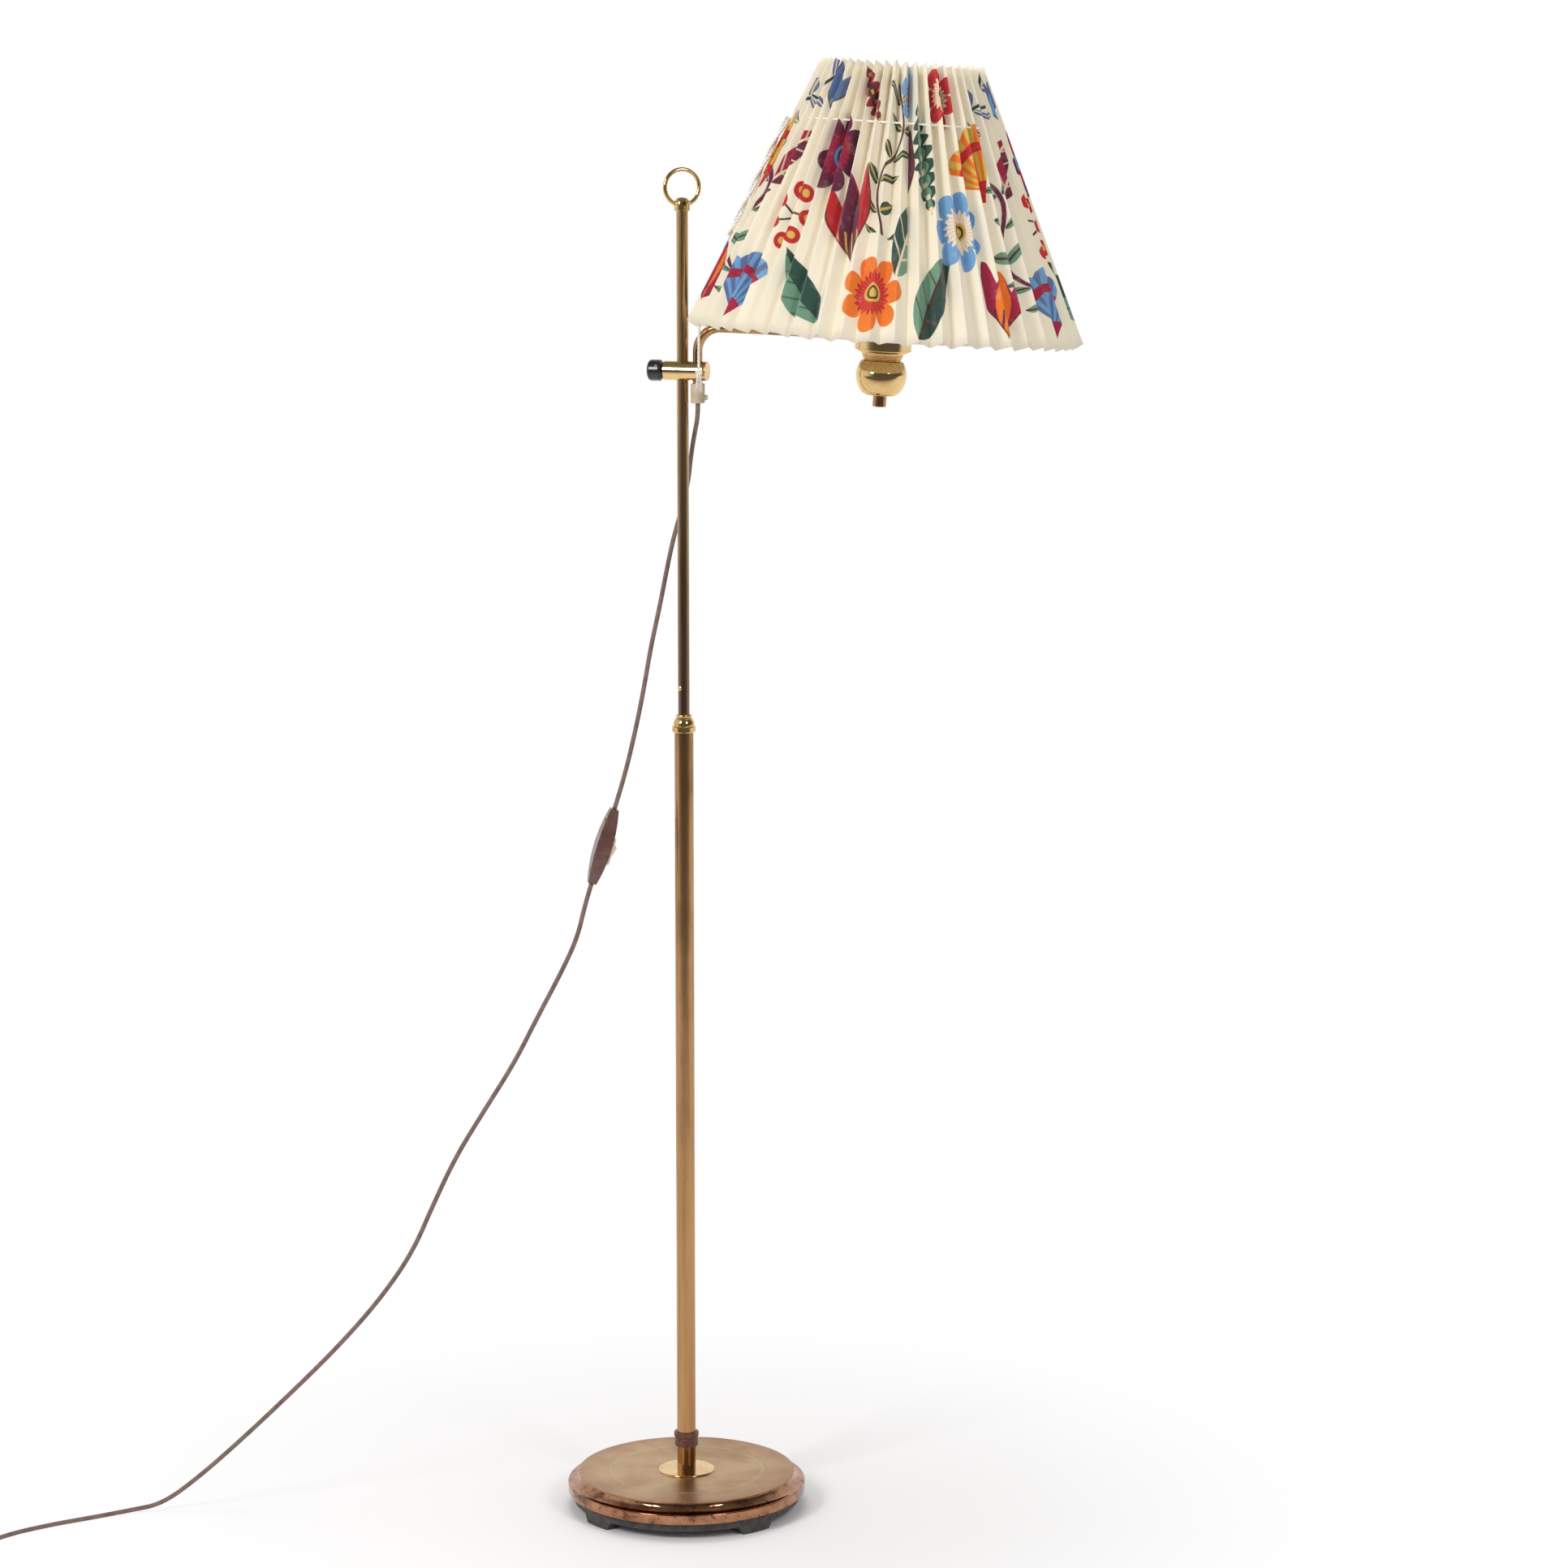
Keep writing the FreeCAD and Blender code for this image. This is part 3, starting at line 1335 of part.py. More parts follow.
def switch_screws():
    screws = []
    for side in (-1, 1):
        base = V(0, 0, side * switch_screw_place)
        seat = -5.6
        shank = cylinder(switch_screw_radius, 7.0 + switch_split - seat - 0.5, V(seat, 0, base.z), along)
        head = cylinder(switch_screw_head_radius, 1.4, V(seat - 1.4, 0, base.z), along)
        slot = Part.makeBox(1.2, 0.7, 4 * switch_screw_head_radius,
                            V(seat - 1.9, -0.35, base.z - 2 * switch_screw_head_radius))
        screws.append(fuse_all([shank, head]).cut(slot))
    return on_switch(Part.makeCompound(screws))


def rocker_bezel():
    body = bezel_block(0.0)
    outer = [e for e in body.Edges if abs(e.BoundBox.XMin - bezel_face) < 1e-6]
    body = body.makeChamfer(0.8, outer)
    length, width = 2 * rocker_opening_half_length, 2 * rocker_opening_half_width
    hole = Part.makeBox(4 * bezel_proud + 10, width, length,
                        V(bezel_foot - 2, -width / 2, bezel_offset - length / 2))
    pin = cylinder(rocker_pin_radius + running_gap, 2 * rocker_pin_half_length + 0.4,
                   V(rocker_axis_height, -rocker_pin_half_length - 0.2, bezel_offset), V(0, 1, 0))
    return on_switch(body.cut(hole).cut(pin))


def rocker():
    """Wedge button on a cross pin: high at one end, level with the bezel at the other."""
    h = rocker_half_length
    n = rocker_axis_height
    points = [V(n - 2.2, 0, -h + 1.2), V(n + 1.9, 0, -h), V(n + 2.4 + rocker_peak, 0, 0.62 * h),
              V(n + 2.6, 0, h), V(n - 2.2, 0, h - 1.2)]
    points = [p + V(0, -rocker_half_width, bezel_offset) for p in points]
    wedge = prism(points, V(0, 2 * rocker_half_width, 0))
    pin = cylinder(rocker_pin_radius, 2 * rocker_pin_half_length,
                   V(n, -rocker_pin_half_length, bezel_offset), V(0, 1, 0))
    return on_switch(fuse_all([wedge, pin]))


# ---- make and save every piece ---------------------------------------------------------
os.makedirs("parts", exist_ok=True)
pieces = [
    foot_ring, base_shell, base_weight, base_top_plate, base_flange, column_foot_plug, tie_washer, tie_nut,
    lower_column, column_collar, cord_clip,
    mast_tube, mast_bush, mast_cap, carry_ring, snap_button,
    clamp_barrel, clamp_knob, clamp_screw, knob_grub_screw,
    arm_tube, arm_wire, cord_grip, cord_grip_screw, arm_hub, lower_rod, upper_nipple,
    head_cup, step_ring, head_neck, head_ball, ball_foot_disc, stem_nut,
    lampholder_cap, lampholder_body, clamp_ring, bulb_cap, bulb_glass,
    shade, shade_carrier, shade_top_ring,
    drawstring_loop, drawstring_tail, drawstring_knot, drawstring_bight,
    cord_upper, cord_lower, cord_coil, plug_relief, plug_body, plug_pins,
    switch_back_shell, switch_front_shell, switch_screws, rocker_bezel, rocker,
]
for make in pieces:
    shape = make()
    solids = len(shape.Solids)
    box = shape.BoundBox
    print("%-20s solids %d valid %s volume %.1f  z %.1f..%.1f" % (
        make.__name__, solids, shape.isValid(), shape.Volume, box.ZMin, box.ZMax))
    save(make.__name__, shape)
print("coil least gap", round(least_gap(), 3))
print("rocker axis", switch_place.multVec(V(rocker_axis_height, 0, bezel_offset)), switch_across)
print("head centre", head_centre, "carrier radius", round(carrier_radius, 2))
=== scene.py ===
import bpy
import json
import math
import random
from mathutils import Matrix, Vector

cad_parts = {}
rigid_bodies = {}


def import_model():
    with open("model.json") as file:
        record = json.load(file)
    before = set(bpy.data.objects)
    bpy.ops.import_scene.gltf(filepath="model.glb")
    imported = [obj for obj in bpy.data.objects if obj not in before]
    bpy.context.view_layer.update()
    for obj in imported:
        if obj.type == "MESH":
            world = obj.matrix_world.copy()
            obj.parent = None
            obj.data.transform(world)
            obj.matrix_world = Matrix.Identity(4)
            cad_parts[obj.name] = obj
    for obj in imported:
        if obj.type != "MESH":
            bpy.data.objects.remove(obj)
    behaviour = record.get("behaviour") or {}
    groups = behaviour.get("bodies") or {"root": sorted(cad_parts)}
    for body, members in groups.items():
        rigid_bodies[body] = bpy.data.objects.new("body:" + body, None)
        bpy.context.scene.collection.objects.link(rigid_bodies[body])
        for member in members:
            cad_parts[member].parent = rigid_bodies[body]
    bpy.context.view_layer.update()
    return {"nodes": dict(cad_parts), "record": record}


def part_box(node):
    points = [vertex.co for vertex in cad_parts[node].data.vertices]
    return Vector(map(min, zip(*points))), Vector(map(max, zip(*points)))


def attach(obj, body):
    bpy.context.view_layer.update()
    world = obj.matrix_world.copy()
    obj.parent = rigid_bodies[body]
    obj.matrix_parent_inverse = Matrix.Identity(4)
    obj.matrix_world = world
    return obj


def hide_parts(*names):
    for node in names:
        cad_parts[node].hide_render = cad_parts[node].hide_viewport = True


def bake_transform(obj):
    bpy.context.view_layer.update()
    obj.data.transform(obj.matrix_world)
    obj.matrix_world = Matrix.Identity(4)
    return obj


for default in list(bpy.data.objects):
    bpy.data.objects.remove(default)
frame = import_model()
nodes = frame["nodes"]
random.seed(7)

# ---- the view ----
VIEW_AZIMUTH = math.radians(17.5)
CAMERA_DISTANCE = 4.6
CAMERA_RIGHT = 0.1046
CAMERA_HEIGHT = 1.516
CAMERA_DOWN = math.radians(9.05)
CAMERA_LENS = 102.1
NEARER = Vector((math.sin(VIEW_AZIMUTH), -math.cos(VIEW_AZIMUTH), 0))
RIGHT = Vector((math.cos(VIEW_AZIMUTH), math.sin(VIEW_AZIMUTH), 0))

# ---- the carrying ring ----
RING_AZIMUTH = math.radians(-53.5)
RING_WIRE = 0.0043

# ---- the head's frame and the shade ----
HEAD_REACH = 0.216
HEAD_HEIGHT = 1.2526093
HEAD_LEAN = math.radians(3.8)
HEAD = Matrix.Translation((HEAD_REACH, 0, HEAD_HEIGHT)) @ Matrix.Rotation(HEAD_LEAN, 4, "Y")
PLEATS = 50
SHADE_FOOT = 0.0058
SHADE_HEIGHT = 0.2714
RIDGE_BOTTOM, RIDGE_TOP = 0.2017, 0.0819
SLOPE = (RIDGE_BOTTOM - RIDGE_TOP) / SHADE_HEIGHT
SLANT = math.hypot(SHADE_HEIGHT, RIDGE_BOTTOM - RIDGE_TOP)
DEPTH_BOTTOM, DEPTH_TOP = 0.0093, 0.0150
FIRST_VALLEY = math.radians(184.5)
PANEL_WIDTH = 0.0157
CLOTH_THICKNESS = 0.0005
STITCH_DOWN = 0.067
STITCH_SHARE = 1 - STITCH_DOWN / SLANT
SEAM_FOLD = 30
HEM_POINT = 0.0012  # how much the hem's zigzag is drawn out
SHADE_LIFT = 0.038  # rise of the near side, as a share of its reach from the middle
SHADE_ROWS = 24
FOLD_STEPS = (0.0, 0.03, 0.07, 0.27, 0.5, 0.73, 0.93, 0.97)
FOLD_WIDTH = 0.07
FOLD_SWAY = math.radians(0.6)
FOLD_BOW = math.radians(0.35)
FOLD_PUSH = 0.0012
HEM_PUSH = 0.0009
TOP_DROP = 0.0006

# ---- base, its cove deeper than the solid's ----
BAND_RADIUS = 0.127
BAND_FOOT = 0.018
BAND_TOP = 0.0288
BAND_ROUND = 0.0012  # round edge on top of the band
LIP_WIDTH = 0.0010  # flat lip between the edge and the cove
HEM_TUCK = ((0.0016, 0.0004), (0.0004, 0.0), (0.0, 0.0008))
COVE_RADIUS = 0.1135
COVE_TOP = 0.0371
SHELL_WALL = 0.0012
WEIGHT_CHAMFER = (0.003, 0.002)
STUD_HOLE = 0.0055
EDGE_STEPS, COVE_STEPS, LATHE_STEPS = 4, 14, 180

# ---- cords ----
CORD_DIAMETER = 0.0048
STRING_DIAMETER = 0.003
CORD_EXIT = Vector((0.0164, 0, 1.1823))
SWITCH_BOTTOM = Vector((-0.0931, -0.0293, 0.6779))
SWITCH_TOP = Vector((-0.0705, -0.0201, 0.7563))
CORD_LEAD = 0.016
UPPER_ROUTE = [
    (0.0161, 0.001, 1.168), (0.0085, 0.0133, 1.151), (0.0015, 0.0213, 1.126),
    (-0.0039, 0.0289, 1.1), (-0.0111, 0.0304, 1.071), (-0.0193, 0.0263, 1.0408),
    (-0.0243, 0.019, 1.0088), (-0.0298, 0.011, 0.969), (-0.037, 0.0025, 0.9267),
    (-0.0433, -0.0031, 0.8816), (-0.0506, -0.0089, 0.839), (-0.0586, -0.0146, 0.8)]
LOWER_ROUTE = [
    (-0.108, -0.0342, 0.618), (-0.127, -0.0412, 0.576), (-0.148, -0.0491, 0.534),
    (-0.171, -0.0583, 0.485), (-0.2, -0.0695, 0.436), (-0.2294, -0.0808, 0.385),
    (-0.2522, -0.09, 0.333), (-0.2736, -0.099, 0.28), (-0.3075, -0.1128, 0.228),
    (-0.3499, -0.1293, 0.177), (-0.3993, -0.149, 0.125), (-0.446, -0.1656, 0.078),
    (-0.4885, -0.1804, 0.038), (-0.527, -0.191, 0.0075), (-0.557, -0.207, 0.0025),
    (-0.583, -0.239, 0.0025), (-0.617, -0.277, 0.0025), (-0.645, -0.319, 0.0025),
    (-0.6575, -0.3625, 0.0025)]
COIL_CENTRE = Vector((-0.6847, -0.4025, 0.0025))
COIL_RADIUS = 0.038
COIL_PITCH = 0.0061
COIL_HALF_TURNS = 6
POINTS_PER_HALF_TURN = 8
PLUG_RUN = 0.030

# ---- drawstring: its steps, gaps and turns ----
STITCH_THICKNESS = 0.0023
STRING_STEP = 0.0007  # between the points that a rope's strands follow
BIGHT_STEP = 0.006  # between the points of the doubled strand's middle line
BIGHT_TURN = 0.55  # radians of twist at each of them
BIGHT_HALF_GAP = 0.00165
BIGHT_FOLD = 0.0035
BIGHT_LINE = [(202.5, STITCH_SHARE, 0.0024), (203.5, 0.73, 0.0034), (204.5, 0.63, 0.0032),
              (205.5, 0.53, 0.0030), (206.5, 0.43, 0.0030), (207.0, 0.34, 0.0030)]
TAIL_GAP = 0.0028
TAIL_SHARES = (0.6, 0.4, 0.2, 0.06)
RIM_SHARE = 0.0146
KNOT_DROP = 0.0034
KNOT_SCALE = 0.00105
KNOT_STEPS = 120
TUFT_FIBRES = 30
TUFT_GAP = 0.0017
FIBRE_RADIUS = 0.00034
FIBRE_PATH = ((0, 0.0007, 0), (0.4, 0.0012, 0.4), (0.5, 0.0016, 0.75), (0.6, 0.0026, 1))


def srgb(red, green, blue):
    """A colour as seen, 0 to 255, in the linear numbers that shaders take."""
    def linear(c):
        c /= 255
        return c / 12.92 if c <= 0.04045 else ((c + 0.055) / 1.055) ** 2.4
    return (linear(red), linear(green), linear(blue), 1)


# ---- camera, light, floor ----
ROOM_LIGHT = 0.52
FLOOR_WIDTH = 60.0
FLOOR_COLOR = (0.985, 0.972, 0.968, 1)
SHADED_FLOOR = (0.18, 0.75)  # the lamp's shadow on the floor fades out between these distances
DARK_END = (0.6, 4.2)  # the floor that metal mirrors darkens between these, towards the viewer


def make_camera():
    camera = bpy.data.objects.new("camera", bpy.data.cameras.new("camera"))
    bpy.context.scene.collection.objects.link(camera)
    camera.data.lens = CAMERA_LENS
    camera.data.sensor_width = 36
    camera.data.clip_end = 50
    camera.location = NEARER * CAMERA_DISTANCE + RIGHT * CAMERA_RIGHT + Vector((0, 0, CAMERA_HEIGHT))
    camera.rotation_euler = (math.pi / 2 - CAMERA_DOWN, 0, VIEW_AZIMUTH)
    bpy.context.scene.camera = camera


class Value:
    """A number that a node gives. It takes + - * and abs(), each of which adds a node."""

    def __init__(self, nodes, socket):
        self.nodes = nodes
        self.socket = socket

    def __add__(self, other):
        return self.nodes.math("ADD", self, other)

    def __sub__(self, other):
        return self.nodes.math("SUBTRACT", self, other)

    def __rsub__(self, other):
        return self.nodes.math("SUBTRACT", other, self)

    def __mul__(self, other):
        return self.nodes.math("MULTIPLY", self, other)

    def __abs__(self):
        return self.nodes.math("ABSOLUTE", self)

    __radd__ = __add__
    __rmul__ = __mul__


class Tree:
    """Short calls for building a node tree."""

    def __init__(self, tree):
        self.tree = tree

    def feed(self, socket, value):
        """Link a node's output to a socket, or write a constant on it."""
        if isinstance(value, Value):
            value = value.socket
        if isinstance(value, bpy.types.NodeSocket):
            self.tree.links.new(value, socket)
        else:
            socket.default_value = value

    def add(self, kind, inputs=None, **settings):
        node = self.tree.nodes.new(kind)
        for key, value in settings.items():
            setattr(node, key, value)
        for key, value in (inputs or {}).items():
            self.feed(node.inputs[key], value)
        return node

    def math(self, operation, *values):
        node = self.add("ShaderNodeMath", dict(enumerate(values)), operation=operation)
        return Value(self, node.outputs[0])

    def reach(self, x, y):
        """Distance from the middle."""
        return self.math("SQRT", x * x + y * y)

    def wave(self, value, count):
        return self.math("SINE", value * count)

    def step(self, value, low, high, to_low=0.0, to_high=1.0):
        node = self.add("ShaderNodeMapRange", {0: value, 1: low, 2: high, 3: to_low, 4: to_high},
                        interpolation_type="SMOOTHSTEP")
        return Value(self, node.outputs[0])

    def inside(self, value, limit):
        """1 where value is under limit, with a narrow soft edge."""
        return self.step(value - limit, -EDGE, EDGE, 1.0, 0.0)

    def noise(self, scale, detail, vector, roughness=0.5, distortion=0.0):
        node = self.add("ShaderNodeTexNoise", {"Scale": scale, "Detail": detail, "Vector": vector,
                                               "Roughness": roughness, "Distortion": distortion})
        return Value(self, node.outputs["Fac"])

    def mix(self, factor, a, b):
        return self.add("ShaderNodeMix", {0: factor, 6: a, 7: b}, data_type="RGBA").outputs[2]

    def object_point(self):
        return self.add("ShaderNodeTexCoord").outputs["Object"]

    def stretched(self, vector, scale):
        return self.add("ShaderNodeMapping", {"Vector": vector, "Scale": scale}).outputs[0]

    def vector(self, operation, *values):
        inputs = dict(enumerate(values))
        return self.add("ShaderNodeVectorMath", inputs, operation=operation).outputs[0]

    def along(self, vector, way):
        """How far a vector reaches along a way."""
        inputs = {0: vector, 1: way}
        node = self.add("ShaderNodeVectorMath", inputs, operation="DOT_PRODUCT")
        return Value(self, node.outputs["Value"])

    def sized(self, vector, factor):
        inputs = {0: vector, "Scale": factor}
        return self.add("ShaderNodeVectorMath", inputs, operation="SCALE").outputs[0]

    def split(self, vector):
        node = self.add("ShaderNodeSeparateXYZ", {0: vector})
        return [Value(self, socket) for socket in node.outputs]

    def join(self, x, y, z=0.0):
        return self.add("ShaderNodeCombineXYZ", {0: x, 1: y, 2: z}).outputs[0]

    def bump(self, height, distance, strength, normal=None):
        inputs = {"Height": height, "Distance": distance, "Strength": strength}
        node = self.add("ShaderNodeBump", inputs)
        if normal is not None:
            self.feed(node.inputs["Normal"], normal)
        return node.outputs[0]


def make_world():
    """White behind the object, with a darker room on the near side that polished metal mirrors."""
    world = bpy.data.worlds.new("studio")
    bpy.context.scene.world = world
    world.use_nodes = True
    world.node_tree.nodes.clear()
    t = Tree(world.node_tree)
    way = t.add("ShaderNodeTexCoord").outputs["Generated"]
    room = (NEARER + 0.55 * RIGHT).normalized()
    towards = t.along(way, room)
    height = t.split(way)[2]
    wall = t.step(towards, -0.3, 0.5, 0.95, 0.12)
    mirrored = t.step(height, 0.45, 0.9, wall, 0.2)
    path = t.add("ShaderNodeLightPath").outputs
    sharp = t.math("MAXIMUM", path["Is Glossy Ray"], path["Is Transmission Ray"])
    plain = (ROOM_LIGHT, ROOM_LIGHT, ROOM_LIGHT, 1)
    level = t.mix(sharp, plain, t.join(mirrored, mirrored, mirrored))
    level = t.mix(path["Is Camera Ray"], level, (1, 1, 1, 1))
    background = t.add("ShaderNodeBackground", {"Color": level, "Strength": 1.0})
    t.add("ShaderNodeOutputWorld", {0: background.outputs[0]})


def make_lamp(name, place, aim, size, power):
    data = bpy.data.lights.new(name, "AREA")
    data.shape = "RECTANGLE"
    data.size, data.size_y = size
    data.energy = power
    lamp = bpy.data.objects.new(name, data)
    bpy.context.scene.collection.objects.link(lamp)
    lamp.location = place
    lamp.rotation_euler = (Vector(aim) - place).to_track_quat("-Z", "Y").to_euler()
    return lamp


def make_light():
    middle = (0.1, 0, 0.8)
    up = Vector((0, 0, 1))
    make_lamp("key", NEARER * 2.2 - RIGHT * 1.9 + up * 2.4, middle, (0.8, 1.2), 42)
    make_lamp("fill", NEARER * 2.3 + RIGHT * 1.7 + up * 2.2, middle, (0.6, 1.0), 17)
    top = make_lamp("top", NEARER * -0.3 + up * 3.6, middle, (1.6, 1.6), 30)
    top.visible_glossy = False


def make_floor():
    """Pale floor: shaded near the lamp, plain white further off."""
    half = FLOOR_WIDTH / 2
    corners = [(-half, -half, 0), (half, -half, 0), (half, half, 0), (-half, half, 0)]
    mesh = bpy.data.meshes.new("floor")
    mesh.from_pydata(corners, [], [(0, 1, 2, 3)])
    floor = bpy.data.objects.new("floor", mesh)
    bpy.context.scene.collection.objects.link(floor)
    material = bpy.data.materials.new("floor")
    material.use_nodes = True
    material.node_tree.nodes.clear()
    t = Tree(material.node_tree)
    point = t.add("ShaderNodeNewGeometry").outputs["Position"]
    x, y, _ = t.split(point)
    matt = t.add("ShaderNodeBsdfDiffuse", {"Color": FLOOR_COLOR}).outputs[0]
    path = t.add("ShaderNodeLightPath").outputs
    mirrored = t.math("MAXIMUM", path["Is Glossy Ray"], path["Is Transmission Ray"])
    seen = t.math("MAXIMUM", path["Is Camera Ray"], mirrored)
    nearer = t.along(point, NEARER)
    level = 1.0 - t.step(nearer, *DARK_END, 0.0, 0.87) * mirrored
    color = t.join(level, level, level)
    white = t.add("ShaderNodeEmission", {"Color": color, "Strength": 1.0}).outputs[0]
    share = t.step(t.reach(x, y), *SHADED_FLOOR) * seen
    mixed = t.add("ShaderNodeMixShader", {0: share, 1: matt, 2: white}).outputs[0]
    t.add("ShaderNodeOutputMaterial", {0: mixed})
    mesh.materials.append(material)


# ---- materials ----
MAST_DARK_REFLECTION = (0.86, 1.33)  # painted dark reflection: the mast's brown, strongest low down, fades out between these heights
SCREW_SIDE = (-0.0052, -0.0040)
FIRST_BITES, LAST_BITES = (0.98, 1.0), (1.34, 1.36)
SCUFF_RING = 0.0815
BROWNED_RIM = (0.088, 0.115)


def surface(name):
    """A material with a principled shader, as (material, tree, shader)."""
    material = bpy.data.materials.new(name)
    material.use_nodes = True
    material.node_tree.nodes.clear()
    t = Tree(material.node_tree)
    shader = t.add("ShaderNodeBsdfPrincipled")
    t.add("ShaderNodeOutputMaterial", {0: shader.outputs[0]})
    return material, t, shader


def put(t, shader, **values):
    """Colour, roughness, normal and so on, on the shader's sockets."""
    names = {"color": "Base Color", "metal": "Metallic", "rough": "Roughness", "normal": "Normal",
             "coat": "Coat Weight", "coat_rough": "Coat Roughness", "sheen": "Sheen Weight",
             "sheen_rough": "Sheen Roughness", "specular": "Specular IOR Level",
             "subsurface": "Subsurface Weight", "subsurface_scale": "Subsurface Scale"}
    for key, value in values.items():
        t.feed(shader.inputs[names[key]], value)


def polished_brass():
    """Bright lacquered brass with faint cloudy patches and hairline scratches."""
    material, t, shader = surface("polished_brass")
    point = t.object_point()
    cloud = t.noise(28, 4, point, 0.6)
    spots = t.step(t.noise(240, 2, point), 0.66, 0.72)
    hair = t.noise(90, 3, t.stretched(point, (1, 1, 9)), 0.7)
    color = t.mix(t.step(cloud, 0.35, 0.75), srgb(232, 200, 142), srgb(208, 168, 108))
    color = t.mix(spots * 0.45, color, srgb(132, 90, 52))
    rough = t.step(cloud, 0.3, 0.8, 0.04, 0.12) + spots * 0.2
    put(t, shader, color=color, metal=1.0, rough=rough, normal=t.bump(hair, 0.00004, 0.25))
    return material


def drawn_brass(name, bright, dull, dark, low, high):
    """Drawn tube: lengthwise streaks, and tarnish patches painted stronger with height as a painted
    dark reflection.
    """
    material, t, shader = surface(name)
    point = t.object_point()
    height = t.split(point)[2]
    streak = t.noise(160, 4, t.stretched(point, (1, 1, 0.03)), 0.65)
    patch = t.noise(22, 5, t.stretched(point, (1, 1, 0.25)), 0.65)
    specks = t.step(t.noise(420, 2, point), 0.68, 0.74)
    # painted dark reflection: the tarnish patches are painted stronger with height, standing in for
    # the dark room that the upper column mirrors
    rise = t.step(height, low, high)
    color = t.mix(t.step(streak, 0.3, 0.75), bright, dull)
    tarnish_and_dark_reflection = t.step(patch, 0.42, 0.72) * (0.25 + rise * 0.6)
    color = t.mix(t.math("MINIMUM", tarnish_and_dark_reflection, 1.0), color, dark)
    color = t.mix(specks * 0.5, color, dark)
    rough = t.step(streak, 0.2, 0.8, 0.12, 0.2) + tarnish_and_dark_reflection * 0.12
    put(t, shader, color=color, metal=1.0, rough=rough, normal=t.bump(streak, 0.00005, 0.3))
    return material


def mast_brass():
    """Thin tube with red tarnish patches, a painted dark reflection in brown over its lower part, and
    the bites that the clamp screw left down one side.
    """
    material, t, shader = surface("mast_brass")
    point = t.object_point()
    x, _, z = t.split(point)
    streak = t.noise(210, 4, t.stretched(point, (1, 1, 0.04)), 0.65)
    patch = t.noise(30, 5, t.stretched(point, (1, 1, 0.2)), 0.7)
    height = t.step(z, *MAST_DARK_REFLECTION)
    color = t.mix(t.step(streak, 0.3, 0.75), srgb(206, 172, 122), srgb(160, 120, 84))
    # painted dark reflection: a dark brown laid over the lower part of the mast, fading out with
    # height
    low = t.mix(t.step(patch, 0.3, 0.7), srgb(128, 106, 90), srgb(92, 74, 64))
    color = t.mix((1.0 - height) * 0.85, color, low)
    red = t.step(patch, 0.5, 0.72) * 0.55
    color = t.mix(red, color, srgb(134, 86, 66))
    side = t.step(x, *SCREW_SIDE, 1.0, 0.0)
    tick = t.noise(1.0, 1, t.stretched(point, (300, 300, 190)))
    ends = t.step(z, *FIRST_BITES) * t.step(z, *LAST_BITES, 1.0, 0.0)
    bite = side * t.step(tick, 0.56, 0.6) * ends
    color = t.mix(bite, color, srgb(236, 205, 140))
    rough = t.step(streak, 0.2, 0.8, 0.16, 0.3) + bite * 0.15
    dent = bite * -1.0
    put(t, shader, color=color, metal=1.0, rough=rough,
        normal=t.bump(dent, 0.0003, 0.8, t.bump(streak, 0.00005, 0.3)))
    return material


def brass_plate():
    """Satin top plate: turning marks, a scuffed ring, scratches and a browned rim."""
    material, t, shader = surface("brass_plate")
    point = t.object_point()
    x, y, _ = t.split(point)
    radius = t.reach(x, y)
    turning = t.noise(1.0, 2, t.join(radius * 1400.0, 0.0))
    cloud = t.noise(14, 5, point, 0.65, 0.4)
    fine = t.noise(70, 4, point, 0.7)
    color = t.mix(t.step(cloud, 0.3, 0.75), srgb(196, 160, 112), srgb(174, 134, 88))
    rim = t.step(radius, *BROWNED_RIM) * t.step(fine, 0.3, 0.65, 0.35, 1.0)
    color = t.mix(rim * 0.6, color, srgb(166, 112, 88))
    ring_line = abs(radius - SCUFF_RING)
    ring = t.step(ring_line, 0.0006, 0.002, 1.0, 0.0) * t.step(fine, 0.3, 0.6, 0.45, 1.0)
    color = t.mix(ring * 0.55, color, srgb(224, 204, 186))
    inputs = {"Vector": point, "Rotation": (0, 0, 0.9), "Scale": (30, 900, 1)}
    turned = t.add("ShaderNodeMapping", inputs).outputs[0]
    hair = t.step(t.noise(1.0, 2, turned), 0.69, 0.73)
    near = hair * t.step(cloud, 0.42, 0.6)
    color = t.mix(near * 0.35, color, srgb(232, 212, 178))
    rough = t.step(cloud, 0.3, 0.8, 0.3, 0.4) + ring * 0.12
    put(t, shader, color=color, metal=1.0, rough=rough, normal=t.bump(turning, 0.00002, 0.35))
    return material


def copper_shell():
    """Spun shell: rose-coloured metal, patchy brown tarnish with small dark spots."""
    material, t, shader = surface("copper")
    point = t.object_point()
    height = t.split(point)[2]
    around = t.noise(36, 5, t.stretched(point, (1, 1, 1.6)), 0.7, 0.3)
    spots = t.step(t.noise(190, 3, point), 0.63, 0.70)
    line = t.noise(1.0, 2, t.join(height * 2600.0, 0.0))
    color = t.mix(t.step(around, 0.35, 0.65), srgb(186, 134, 102), srgb(144, 100, 74))
    color = t.mix(t.step(around, 0.54, 0.66) * 0.8, color, srgb(98, 65, 50))
    color = t.mix(spots * 0.75, color, srgb(62, 38, 30))
    rough = t.step(around, 0.3, 0.8, 0.04, 0.13) + spots * 0.2
    put(t, shader, color=color, metal=1.0, rough=rough, normal=t.bump(line, 0.00003, 0.3))
    return material


def moulded(name, color, other, rough, grain=0.00004, scale=900.0, **more):
    """Moulded plastic: a little mottled, with fine grain."""
    material, t, shader = surface(name)
    point = t.object_point()
    mottle = t.noise(120, 3, point, 0.6)
    fine = t.noise(scale, 2, point)
    put(t, shader, color=t.mix(t.step(mottle, 0.35, 0.7), color, other),
        rough=t.step(mottle, 0.3, 0.8, rough, rough + 0.12), normal=t.bump(fine, grain, 0.5), **more)
    return material


